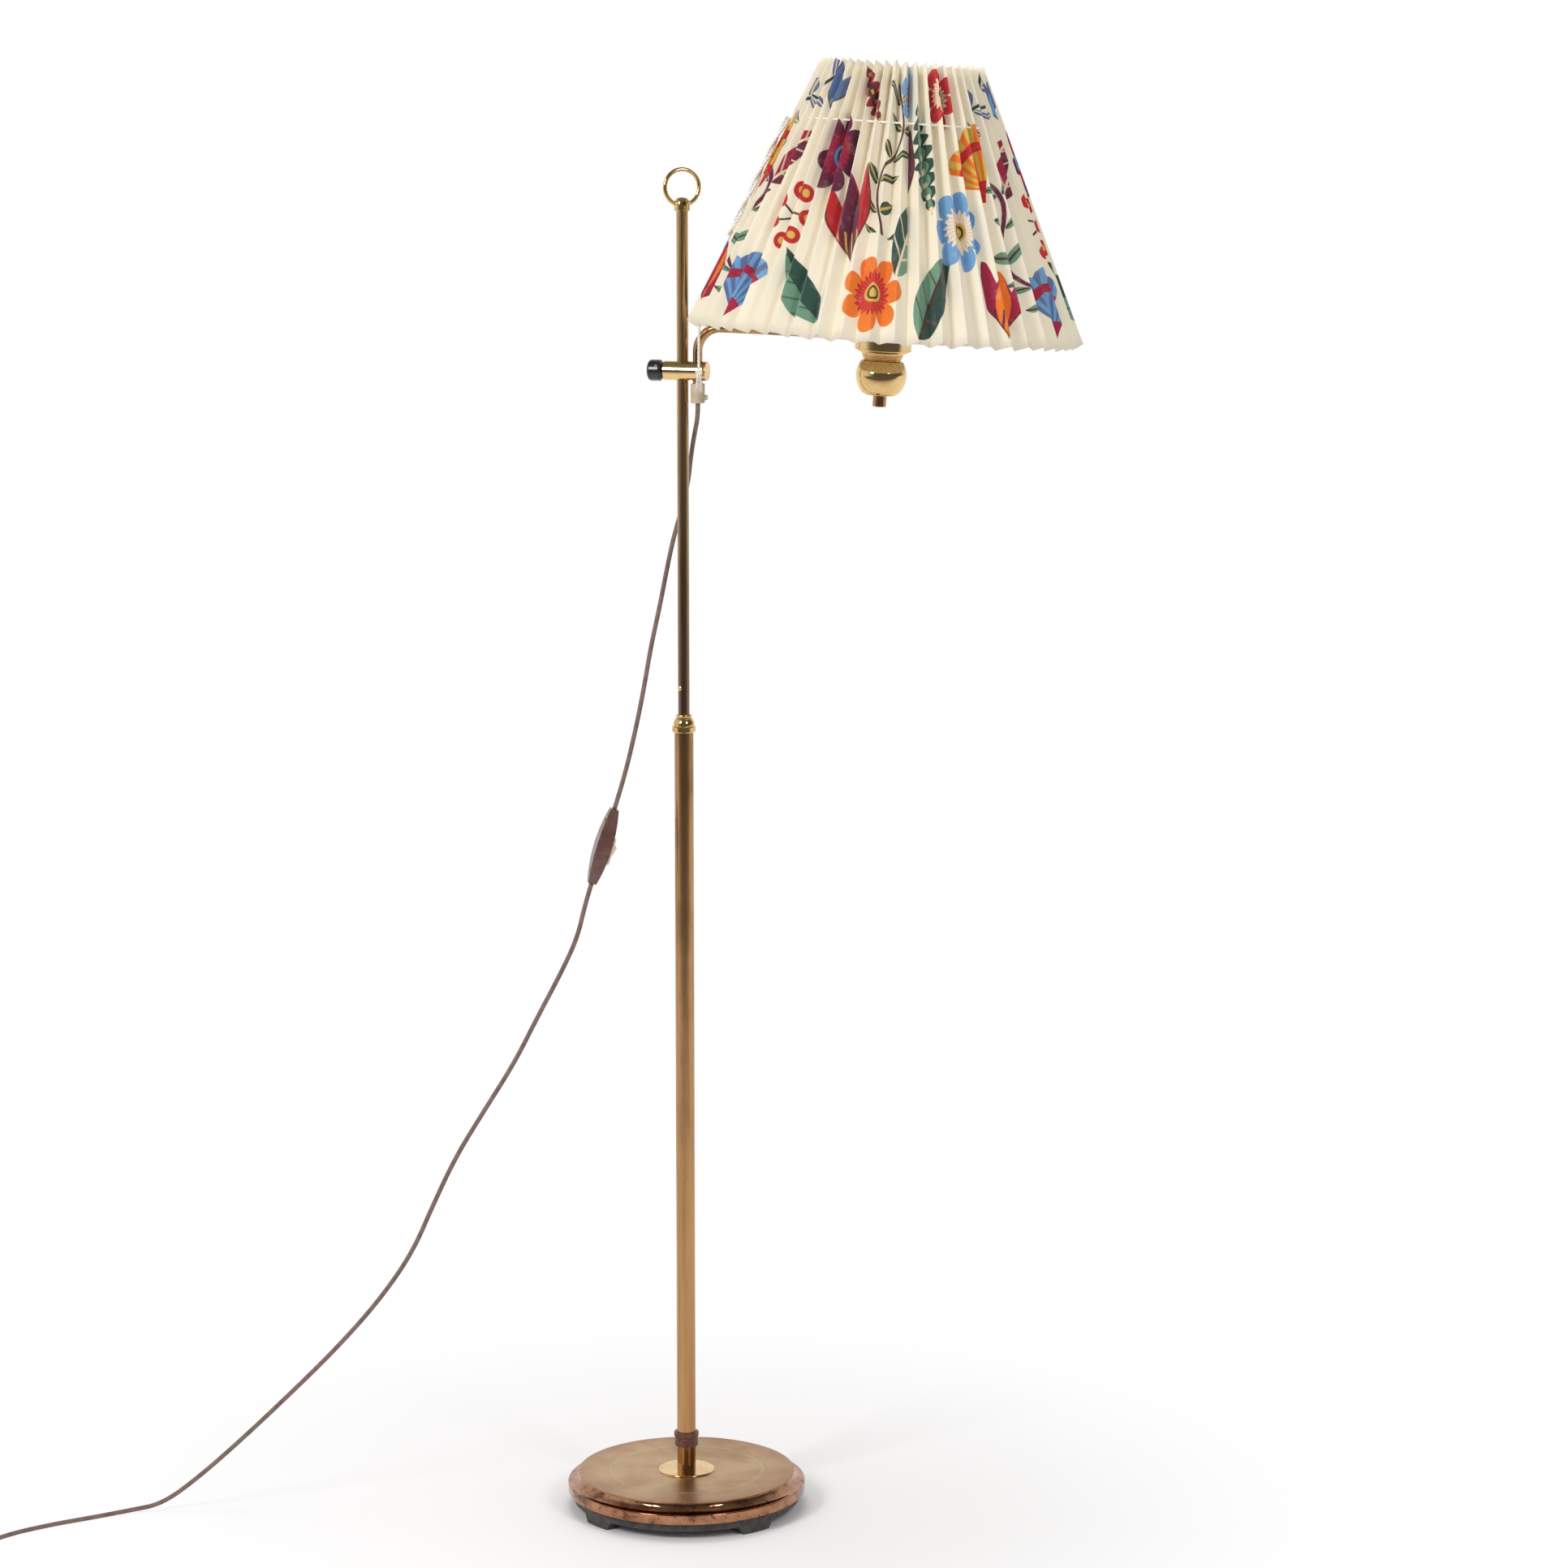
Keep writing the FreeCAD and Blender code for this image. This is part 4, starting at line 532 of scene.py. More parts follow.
def plated(name, color, other, rough):
    material, t, shader = surface(name)
    point = t.object_point()
    cloud = t.noise(180, 3, point, 0.6)
    put(t, shader, color=t.mix(cloud, color, other), metal=1.0,
        rough=t.step(cloud, 0.3, 0.8, rough, rough + 0.15),
        normal=t.bump(t.noise(900, 2, point), 0.00003, 0.4))
    return material


def cast_iron():
    material, t, shader = surface("cast_iron")
    point = t.object_point()
    lump = t.noise(260, 5, point, 0.7)
    put(t, shader, color=t.mix(lump, srgb(70, 66, 62), srgb(38, 36, 35)), metal=0.6, rough=0.75,
        normal=t.bump(lump, 0.0006, 0.8))
    return material


def opal_glass():
    material, t, shader = surface("opal_glass")
    cloud = t.noise(60, 2, t.object_point())
    put(t, shader, color=t.mix(cloud, srgb(246, 244, 238), srgb(238, 235, 226)), rough=0.12, coat=0.3,
        subsurface=0.4, subsurface_scale=0.01)
    return material


def cotton():
    material, t, shader = surface("cotton")
    point = t.object_point()
    fibre = t.noise(1600, 3, point, 0.7)
    color = t.mix(t.step(fibre, 0.25, 0.8), srgb(250, 247, 240), srgb(228, 221, 210))
    put(t, shader, color=color, rough=0.9, sheen=0.3, sheen_rough=0.5,
        normal=t.bump(fibre, 0.0001, 0.5))
    return material


# ---- the shade's print ----
# A plain botanical repeat on ivory: leaves, ferns, flowers, tulips, fans, berries and stems, laid
# out on the flat strip in metres. Kind, place along, place up, turn in degrees, half height,
# then three colours.
REPEAT = 1.047
EDGE = 0.012
PRINT_WANDER = 0.007
THREAD_PITCH = 0.0007
# width of the painted shadow line along the seam
SEAM_SHADOW_WIDTH = 0.0009
LEAFLET_PITCH = 0.46
BERRIES = 7
RED, CRIMSON, ORANGE = srgb(190, 40, 46), srgb(160, 36, 66), srgb(228, 118, 36)
OCHRE, SKY, SLATE = srgb(208, 176, 82), srgb(108, 156, 200), srgb(94, 110, 150)
SAGE, PINE, MAROON = srgb(106, 146, 120), srgb(44, 74, 64), srgb(106, 40, 66)
BROWN, PALE = srgb(80, 46, 40), srgb(236, 212, 182)
PRINT = [
    ("stem", 0.192, 0.125, -15, 0.070, MAROON, SAGE, BROWN),
    ("stem", 0.487, 0.195, 12, 0.066, BROWN, PINE, OCHRE),
    ("stem", 0.745, 0.130, -6, 0.072, CRIMSON, OCHRE, BROWN),
    ("stem", 0.221, 0.255, 60, 0.050, PINE, SLATE, PALE),
    ("stem", 0.988, 0.260, -35, 0.048, MAROON, SAGE, PINE),
    ("fern", 0.030, 0.195, -12, 0.060, PINE, SAGE, PALE),
    ("fern", 0.693, 0.045, 78, 0.056, BROWN, OCHRE, PALE),
    ("fern", 0.903, 0.190, 18, 0.062, SLATE, MAROON, SKY),
    ("fern", 0.420, 0.262, -48, 0.046, CRIMSON, BROWN, OCHRE),
    ("leaf", 0.044, 0.052, 30, 0.058, SAGE, PINE, BROWN),
    ("leaf", 0.366, 0.055, -48, 0.056, SAGE, PINE, PINE),
    ("leaf", 0.531, 0.118, 26, 0.058, PINE, SAGE, PALE),
    ("leaf", 0.863, 0.118, -34, 0.054, OCHRE, SAGE, BROWN),
    ("leaf", 1.006, 0.055, -18, 0.054, SAGE, SKY, PINE),
    ("leaf", 0.251, 0.190, 40, 0.044, CRIMSON, MAROON, PALE),
    ("leaf", 0.649, 0.262, 62, 0.046, PINE, SKY, PALE),
    ("leaf", 0.885, 0.268, -66, 0.038, SAGE, PINE, OCHRE),
    ("tulip", 0.150, 0.048, 14, 0.044, CRIMSON, ORANGE, MAROON),
    ("tulip", 0.422, 0.130, -20, 0.056, RED, MAROON, OCHRE),
    ("tulip", 0.581, 0.044, 6, 0.044, SKY, SLATE, PALE),
    ("tulip", 0.597, 0.196, 24, 0.048, ORANGE, RED, BROWN),
    ("tulip", 1.024, 0.178, -12, 0.052, MAROON, CRIMSON, SKY),
    ("tulip", 0.307, 0.262, 10, 0.034, SLATE, SKY, OCHRE),
    ("fan", 0.254, 0.050, 0, 0.046, SKY, SLATE, CRIMSON),
    ("fan", 0.145, 0.192, -26, 0.048, OCHRE, ORANGE, RED),
    ("fan", 0.808, 0.050, 16, 0.048, RED, CRIMSON, OCHRE),
    ("fan", 0.956, 0.120, -8, 0.050, ORANGE, OCHRE, MAROON),
    ("fan", 0.767, 0.262, 30, 0.036, CRIMSON, MAROON, PALE),
    ("flower", 0.091, 0.122, 0, 0.044, SKY, PALE, OCHRE),
    ("flower", 0.475, 0.050, 20, 0.042, ORANGE, RED, OCHRE),
    ("flower", 0.369, 0.196, 45, 0.046, MAROON, CRIMSON, SKY),
    ("flower", 0.643, 0.126, 10, 0.050, RED, ORANGE, OCHRE),
    ("flower", 0.808, 0.200, 30, 0.044, SLATE, SKY, PALE),
    ("flower", 0.086, 0.264, 0, 0.034, RED, PALE, BROWN),
    ("flower", 0.534, 0.264, 12, 0.036, SKY, MAROON, OCHRE),
    ("berries", 0.307, 0.128, 0, 0.038, RED, BROWN, OCHRE),
    ("berries", 0.912, 0.046, 15, 0.036, SKY, PINE, CRIMSON),
    ("berries", 0.699, 0.200, 30, 0.036, OCHRE, SAGE, RED),
]


def motif_group(kind, draw):
    """A node group that draws one kind of motif. It gives a colour and a mask."""
    group = bpy.data.node_groups.new("motif_" + kind, "ShaderNodeTree")
    forms = {"Point": "Vector", "Along": "Float", "Up": "Float", "Turn": "Float", "Size": "Float",
             "First": "Color", "Second": "Color", "Third": "Color"}
    for name, form in forms.items():
        group.interface.new_socket(name, in_out="INPUT", socket_type="NodeSocket" + form)
    group.interface.new_socket("Color", in_out="OUTPUT", socket_type="NodeSocketColor")
    group.interface.new_socket("Mask", in_out="OUTPUT", socket_type="NodeSocketFloat")
    t = Tree(group)
    given = t.add("NodeGroupInput").outputs
    u, v, _ = t.split(given["Point"])
    along = t.math("WRAP", u - given["Along"], REPEAT / 2, -REPEAT / 2)
    up = v - given["Up"]
    turned = t.add("ShaderNodeVectorRotate", {"Vector": t.join(along, up), "Angle": given["Turn"]},
                   rotation_type="Z_AXIS").outputs[0]
    x, y, _ = t.split(t.sized(turned, t.math("DIVIDE", 1.0, given["Size"])))
    color, mask = draw(t, x, y, given["First"], given["Second"], given["Third"])
    t.add("NodeGroupOutput", {"Color": color, "Mask": mask})
    return group


def draw_leaf(t, x, y, first, second, third):
    body = t.math("MAXIMUM", 1.0 - y * y, -0.5)
    half = body * t.math("MAXIMUM", y * -0.14 + 0.36, 0.1)
    bent = body * 0.1 + x
    mask = t.inside(abs(bent), half)
    color = t.mix(t.step(bent, -EDGE, EDGE), first, second)
    vein = t.wave(y - abs(bent) * 0.9, 17.0)
    color = t.mix(t.step(vein, 0.86, 0.93) * 0.7, color, third)
    color = t.mix(t.inside(abs(bent), 0.028), color, third)
    return color, mask


def draw_fern(t, x, y, first, second, third):
    teeth = abs(t.wave(y, 13.0))
    body = 1.0 - y * y
    half = body * (teeth * 0.22 + 0.14)
    mask = t.inside(abs(x), half)
    color = t.mix(t.inside(abs(x), half * 0.45), first, second)
    dots = t.wave(y, 26.0)
    near = t.inside(abs(x), 0.05)
    color = t.mix(near * t.step(dots, 0.2, 0.4), color, third)
    return color, mask


def draw_flower(t, x, y, first, second, third):
    reach = t.reach(x, y)
    angle = t.math("ARCTAN2", y, x)
    petal = t.math("POWER", abs(t.wave(angle, 3.5)), 0.6)
    edge = petal * 0.42 + 0.56
    mask = t.inside(reach, edge)
    color = t.mix(t.inside(reach, t.wave(angle, 21.0) * 0.05 + 0.52), first, second)
    streak = t.step(t.wave(angle, 28.0), 0.75, 0.9) * t.inside(reach, 0.8)
    color = t.mix(streak * 0.6, color, first)
    color = t.mix(t.inside(reach, 0.25), color, third)
    ring = t.inside(abs(reach - 0.15), 0.03)
    return t.mix(ring, color, BROWN), mask


def draw_tulip(t, x, y, first, second, third):
    half = t.step(y, -1.05, 0.15, -0.02, 0.70)
    tips = abs(t.math("COSINE", x * 4.6)) * 0.5 + 0.34
    mask = t.inside(abs(x), half) * t.inside(y, tips)
    centre_half = (0.95 - y * y) * 0.34
    color = t.mix(t.inside(abs(x), centre_half), first, second)
    rays = t.step(t.wave(x, 34.0), 0.55, 0.7)
    color = t.mix(rays * t.inside(y, x * -0.2 - 0.3), color, third)
    rim = 1.0 - t.inside(abs(x), half - 0.05)
    return t.mix(rim * 0.7, color, BROWN), mask


def draw_berries(t, x, y, first, second, third):
    reach = t.reach(x, y)
    angle = t.math("ARCTAN2", y, x)
    sector = math.tau / BERRIES
    local = t.math("WRAP", angle, sector / 2, -sector / 2)
    across = reach * t.math("SINE", local)
    out = reach * t.math("COSINE", local) - 0.74
    berry = t.reach(across, out)
    dot = t.inside(berry, 0.23)
    twig = t.inside(abs(across), 0.03) * t.inside(reach, 0.7)
    color = t.mix(t.inside(berry, 0.10), first, third)
    color = t.mix(dot, second, color)
    return color, t.math("MAXIMUM", dot, twig)


def draw_fan(t, x, y, first, second, third):
    up = y + 0.9
    reach = t.reach(x, up)
    angle = t.math("ARCTAN2", x, up)
    edge = abs(t.wave(angle, 9.0)) * 0.14 + 1.55
    mask = t.inside(reach, edge) * t.inside(abs(angle), 0.7)
    ribs = t.step(t.wave(angle, 36.0), -0.1, 0.1)
    color = t.mix(ribs, first, second)
    arc = t.inside(abs(reach - 1.22), 0.1)
    color = t.mix(arc, color, third)
    return t.mix(t.inside(reach, 0.5), color, third), mask


def draw_stem(t, x, y, first, second, third):
    bend = t.wave(y, 3.3) * 0.22
    off = x - bend
    ends = t.inside(abs(y), 1.25)
    line = t.inside(abs(off), 0.035) * ends
    local = t.math("WRAP", y, LEAFLET_PITCH / 2, -LEAFLET_PITCH / 2) - abs(off) * 0.5
    out = abs(off) - 0.24
    leaflet = t.inside(t.reach(out * 5.0, local * (1 / 0.085)), 1.0) * ends
    color = t.mix(leaflet, first, second)
    color = t.mix(leaflet * t.inside(abs(local), 0.016), color, third)
    return color, t.math("MAXIMUM", line, leaflet)


def shade_cloth():
    """Ivory cotton with its print, weave, faint wear along the folds, and a painted shadow along the
    seam.
    """
    material, t, shader = surface("shade_cloth")
    strip = t.add("ShaderNodeUVMap", uv_map="strip").outputs[0]
    blur = t.add("ShaderNodeTexNoise", {"Vector": strip, "Scale": 26.0, "Detail": 2.0})
    blur = blur.outputs["Color"]
    warp = t.sized(t.vector("SUBTRACT", blur, (0.5, 0.5, 0.5)), PRINT_WANDER)
    point = t.vector("ADD", strip, warp)
    draws = {"leaf": draw_leaf, "fern": draw_fern, "flower": draw_flower, "tulip": draw_tulip,
             "berries": draw_berries, "fan": draw_fan, "stem": draw_stem}
    groups = {kind: motif_group(kind, draw) for kind, draw in draws.items()}
    tone = t.noise(9, 4, strip, 0.6)
    color = t.mix(tone, srgb(240, 231, 211), srgb(231, 220, 195))
    for kind, along, up, turn, size, first, second, third in PRINT:
        motif = t.add("ShaderNodeGroup", {
            "Point": point, "Along": along, "Up": up, "Turn": math.radians(turn), "Size": size,
            "First": first, "Second": second, "Third": third}, node_tree=groups[kind])
        color = t.mix(motif.outputs["Mask"], color, motif.outputs["Color"])
    u, v, _ = t.split(strip)
    weave = t.wave(u, math.tau / THREAD_PITCH) * t.wave(v, math.tau / THREAD_PITCH)
    slub = t.noise(1.0, 3, t.stretched(strip, (1800, 160, 1)))
    fade = t.step(t.noise(60, 4, strip, 0.7), 0.5, 0.8, 0.0, 0.16)
    color = t.mix(fade, color, srgb(238, 228, 208))
    # painted shadow: a thin dark line along the seam, where the doubled edge of the cloth shades the
    # fold
    seam_shadow = t.step(u, 0.0, SEAM_SHADOW_WIDTH, 0.55, 0.0)
    color = t.mix(seam_shadow, color, srgb(120, 98, 74))
    height = weave * 0.4 + slub
    put(t, shader, color=color, rough=0.86, sheen=0.18, sheen_rough=0.5, specular=0.25,
        normal=t.bump(height, 0.00016, 0.5))
    return material


def shade_backing():
    """The plain inside of the pleated cloth."""
    material, t, shader = surface("shade_backing")
    point = t.object_point()
    put(t, shader, color=t.mix(t.noise(40, 3, point), srgb(244, 238, 224), srgb(234, 225, 205)),
        rough=0.7, normal=t.bump(t.noise(1200, 2, point), 0.00008, 0.5))
    return material


# two colours as seen, roughness, and what else differs
PLATINGS = {
    "steel": ((205, 205, 202), (160, 158, 152), 0.28),
    "plated_pins": ((222, 216, 200), (190, 184, 168), 0.15),
    "bulb_metal": ((214, 214, 212), (180, 180, 176), 0.3),
}
PLASTICS = {
    "black_plastic": ((74, 69, 68), (54, 50, 50), 0.6, {"grain": 0.00012, "scale": 500}),
    "cord": ((126, 104, 94), (108, 87, 78), 0.55, {}),
    "plug_plastic": ((96, 76, 68), (84, 66, 58), 0.5, {}),
    "brown_plastic": ((116, 72, 50), (92, 56, 40), 0.35, {}),
    "white_plastic": ((228, 226, 218), (216, 213, 203), 0.45, {}),
    "switch_plastic": ((104, 70, 60), (84, 54, 46), 0.28, {"coat": 0.25, "coat_rough": 0.2}),
    "cream_plastic": ((232, 222, 200), (222, 210, 186), 0.32, {}),
    "grip_plastic": ((202, 186, 158), (184, 168, 138), 0.45,
                     {"subsurface": 0.2, "subsurface_scale": 0.003}),
    "holder_plastic": ((48, 46, 44), (36, 35, 34), 0.35, {}),
    "knob_plastic": ((34, 33, 34), (24, 24, 25), 0.2, {"coat": 0.4, "coat_rough": 0.12}),
    "white_wire": ((240, 239, 234), (228, 226, 219), 0.35, {}),
}


def make_materials():
    materials = {
        "polished_brass": polished_brass(),
        # the column's painted dark reflection grows between 0.3 m and 0.8 m up
        "column_brass": drawn_brass("column_brass", srgb(190, 146, 100), srgb(172, 128, 86),
                                    srgb(104, 76, 58), 0.3, 0.8),
        "mast_brass": mast_brass(),
        "brass_plate": brass_plate(),
        "copper": copper_shell(),
        "cast_iron": cast_iron(),
        "opal_glass": opal_glass(),
        "cotton": cotton(),
        "shade_cloth": shade_cloth(),
    }
    for name, (color, other, rough) in PLATINGS.items():
        materials[name] = plated(name, srgb(*color), srgb(*other), rough)
    for name, (color, other, rough, more) in PLASTICS.items():
        materials[name] = moulded(name, srgb(*color), srgb(*other), rough, **more)
    return materials


# ---- helpers for pieces ----
def add_object(name, data, materials, slot):
    piece = bpy.data.objects.new(name, data)
    bpy.context.scene.collection.objects.link(piece)
    data.materials.append(materials[slot])
    return piece


def spline_line(points, resolution=10):
    """Points read from the smooth NURBS line that has these control points."""
    curve = bpy.data.curves.new("line", "CURVE")
    curve.dimensions = "3D"
    spline = curve.splines.new("NURBS")
    spline.points.add(len(points) - 1)
    for target, point in zip(spline.points, points):
        target.co = (*point, 1)
    spline.order_u = 3
    spline.use_endpoint_u = True
    spline.resolution_u = resolution
    holder = bpy.data.objects.new("line", curve)
    mesh = bpy.data.meshes.new_from_object(holder)
    line = [v.co.copy() for v in mesh.vertices]
    bpy.data.objects.remove(holder)
    bpy.data.meshes.remove(mesh)
    bpy.data.curves.remove(curve)
    return line


def steady_frames(line):
    """Directions and sideways vectors that don't twist along a line."""
    ways = [(after - before).normalized()
            for before, after in zip([line[0]] + line[:-1], line[1:] + [line[-1]])]
    side = ways[0].orthogonal().normalized()
    sides = []
    for way in ways:
        side = (side - way * side.dot(way)).normalized()
        sides.append(side)
    return ways, sides


def tube_mesh(name, line, radius, around=14):
    """Round tube along a line, with flat ends."""
    ways, sides = steady_frames(line)
    radii = radius if isinstance(radius, list) else [radius] * len(line)
    points, faces = [], []
    for place, way, side, r in zip(line, ways, sides, radii):
        third = way.cross(side)
        for k in range(around):
            turn = math.tau * k / around
            points.append(place + (side * math.cos(turn) + third * math.sin(turn)) * r)
    for first in range(0, (len(line) - 1) * around, around):
        for k in range(around):
            n = (k + 1) % around
            faces.append((first + k, first + n, first + around + n, first + around + k))
    faces.append(tuple(reversed(range(around))))
    faces.append(tuple((len(line) - 1) * around + k for k in range(around)))
    return new_mesh(name, points, faces)


def new_mesh(name, points, faces):
    """A mesh whose four-sided faces are shaded smooth."""
    mesh = bpy.data.meshes.new(name)
    mesh.from_pydata(points, [], faces)
    for face in mesh.polygons:
        face.use_smooth = len(face.vertices) == 4
    return mesh


def take_in(part, points, faces):
    """Move a part's mesh to the end of these lists."""
    base = len(points)
    points += [v.co.copy() for v in part.vertices]
    faces += [tuple(base + i for i in f.vertices) for f in part.polygons]
    bpy.data.meshes.remove(part)


def rope_mesh(name, line, diameter, strands=3, lay_length=4.2):
    """Strands twisted round a line. The lay length is in diameters."""
    strand_radius = diameter / 4
    off = diameter / 2 - strand_radius
    ways, sides = steady_frames(line)
    run = [0.0]
    for a, b in zip(line, line[1:]):
        run.append(run[-1] + (b - a).length)
    points, faces = [], []
    for strand in range(strands):
        strand_line = []
        for place, way, side, gone in zip(line, ways, sides, run):
            turn = math.tau * (gone / (lay_length * diameter) + strand / strands)
            out = side * math.cos(turn) + way.cross(side) * math.sin(turn)
            strand_line.append(place + out * off)
        take_in(tube_mesh("strand", strand_line, strand_radius * 1.1, 8), points, faces)
    return new_mesh(name, points, faces)


def resampled(line, spacing):
    """The same line with evenly spaced points."""
    out = [line[0]]
    left = spacing
    for a, b in zip(line, line[1:]):
        span = (b - a).length
        at = 0.0
        while span - at >= left:
            at += left
            out.append(a.lerp(b, at / span))
            left = spacing
        left -= span - at
    if (line[-1] - out[-1]).length > spacing * 0.3:
        out.append(line[-1])
    return out


def ring_point(azimuth, radius, level):
    return Vector((math.cos(azimuth) * radius, math.sin(azimuth) * radius, level))


def line_length(line):
    return sum((b - a).length for a, b in zip(line, line[1:]))


# ---- mains cord ----
def coil_points():
    """In on the floor layer, out again on the layer above, then on to the plug."""
    half_turns = 2 * COIL_HALF_TURNS + 1
    points = []
    for k in range(half_turns * POINTS_PER_HALF_TURN + 1):
        turns = k / POINTS_PER_HALF_TURN
        inward = min(turns, COIL_HALF_TURNS)
        outward = max(turns - COIL_HALF_TURNS - 1, 0.0)
        climb = min(max(turns - COIL_HALF_TURNS, 0.0), 1.0)
        radius = COIL_RADIUS - 0.5 * COIL_PITCH * (inward - outward)
        level = COIL_PITCH * climb * climb * (3 - 2 * climb)
        angle = -math.pi * turns
        points.append(COIL_CENTRE + (RIGHT * math.cos(angle) - NEARER * math.sin(angle)) * radius
                      + Vector((0, 0, level)))
    return points


def cord_tube(name, route, materials):
    """A round cord along the smooth line of a route, as (piece, line)."""
    line = spline_line([Vector(p) for p in route])
    tube = tube_mesh(name, line, CORD_DIAMETER / 2)
    return add_object(name, tube, materials, "cord"), line


def make_cords(materials):
    axis = (SWITCH_TOP - SWITCH_BOTTOM).normalized()
    upper = [CORD_EXIT] + UPPER_ROUTE + [SWITCH_TOP + axis * CORD_LEAD, SWITCH_TOP]
    piece, line = cord_tube("cord_to_switch", upper, materials)
    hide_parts("cord_upper")
    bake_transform(piece)
    line_length(line)

    coil = coil_points()
    lower = [SWITCH_BOTTOM, SWITCH_BOTTOM - axis * 1.5 * CORD_LEAD] + LOWER_ROUTE
    lower += [coil[0] - NEARER * CORD_DIAMETER] + coil
    lower += [coil[-1] - NEARER * 0.5 * PLUG_RUN, coil[-1] - NEARER * PLUG_RUN]
    piece, line = cord_tube("cord_to_plug", lower, materials)
    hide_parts("cord_lower", "cord_coil")
    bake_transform(piece)
    line_length(line)


# ---- base shell ----
def shell_profile():
    """Radius and height from the lower rim, up the band, round its edge and up the cove."""
    profile = [(BAND_RADIUS - inward, BAND_FOOT + up) for inward, up in HEM_TUCK]
    shoulder = BAND_TOP - BAND_ROUND
    profile.append((BAND_RADIUS, shoulder))
    for k in range(1, EDGE_STEPS + 1):
        turn = math.radians(90 * k / EDGE_STEPS)
        profile.append((BAND_RADIUS - BAND_ROUND * (1 - math.cos(turn)),
                        BAND_TOP - BAND_ROUND * (1 - math.sin(turn))))
    lip = BAND_RADIUS - BAND_ROUND - LIP_WIDTH
    profile.append((lip, BAND_TOP))
    for k in range(1, COVE_STEPS + 1):
        turn = math.radians(90 * k / COVE_STEPS)
        profile.append((lip - (lip - COVE_RADIUS) * math.sin(turn),
                        BAND_TOP + (COVE_TOP - BAND_TOP) * (1 - math.cos(turn))))
    return profile


def lathe(name, profile, flat, materials, slot):
    """A closed profile turned about the column's axis. The rows in flat are shaded flat."""
    rows = len(profile)
    points, faces = [], []
    for k in range(LATHE_STEPS):
        turn = math.tau * k / LATHE_STEPS
        points += [ring_point(turn, r, z) for r, z in profile]
        here = k * rows
        there = (k + 1) % LATHE_STEPS * rows
        for row in range(rows):
            after = (row + 1) % rows
            faces.append((here + row, there + row, there + after, here + after))
    mesh = bpy.data.meshes.new(name)
    mesh.from_pydata(points, [], faces)
    for index, face in enumerate(mesh.polygons):
        face.use_smooth = index % rows not in flat
    return add_object(name, mesh, materials, slot)


def make_base(materials):
    """The spun shell, and the weight in it made lower to stay under the cove."""
    shell = shell_profile()
    last = len(shell)
    inner_cove = COVE_RADIUS - SHELL_WALL
    inner_band = BAND_RADIUS - SHELL_WALL
    shell += [(inner_cove, COVE_TOP), (inner_cove, BAND_TOP - SHELL_WALL),
              (inner_band, BAND_TOP - SHELL_WALL), (inner_band, BAND_FOOT)]
    piece = lathe("spun_shell", shell, range(last - 1, last + 4), materials, "copper")
    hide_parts("base_shell")
    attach(piece, "stand")

    edge = BAND_RADIUS - 2 * SHELL_WALL
    core = COVE_RADIUS - 2 * SHELL_WALL
    low = BAND_TOP - 2 * SHELL_WALL
    top = COVE_TOP - SHELL_WALL
    across, down = WEIGHT_CHAMFER
    weight = [(STUD_HOLE, BAND_FOOT), (edge, BAND_FOOT), (edge, low - down), (edge - across, low),
              (core, low), (core - down, top), (STUD_HOLE, top)]
    piece = lathe("turned_weight", weight, range(len(weight)), materials, "cast_iron")
    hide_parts("base_weight")
    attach(piece, "stand")


# ---- shade ----
def shade_levels(share):
    """Ridge radius, pleat depth and height at a share of the way up."""
    ridge = RIDGE_BOTTOM + share * (RIDGE_TOP - RIDGE_BOTTOM)
    depth = DEPTH_BOTTOM + share * (DEPTH_TOP - DEPTH_BOTTOM)
    return ridge, depth, SHADE_FOOT + share * SHADE_HEIGHT


def shade_point(azimuth, share, depth_share):
    """A point of the cloth: depth_share is 0 on the ridge line and 1 on the valley line."""
    ridge, depth, level = shade_levels(share)
    radius = ridge - depth * depth_share
    return ring_point(azimuth, radius, level - depth * SLOPE * depth_share)


def fold_rise(step, width):
    """From 0 at a valley to 1 at the next ridge: a flat panel between two small round folds."""
    if step < width:
        return step * step / (2 * width) + width / 2
    if step > 1 - width:
        return 1 - fold_rise(1 - step, width)
    return step


def seated(place):
    """A point of the head's frame on the shade, which sits a little crooked, its near side up."""
    level = HEAD.to_3x3() @ Vector((place.x, place.y, 0))
    return HEAD @ place + Vector((0, 0, SHADE_LIFT * level.dot(NEARER)))


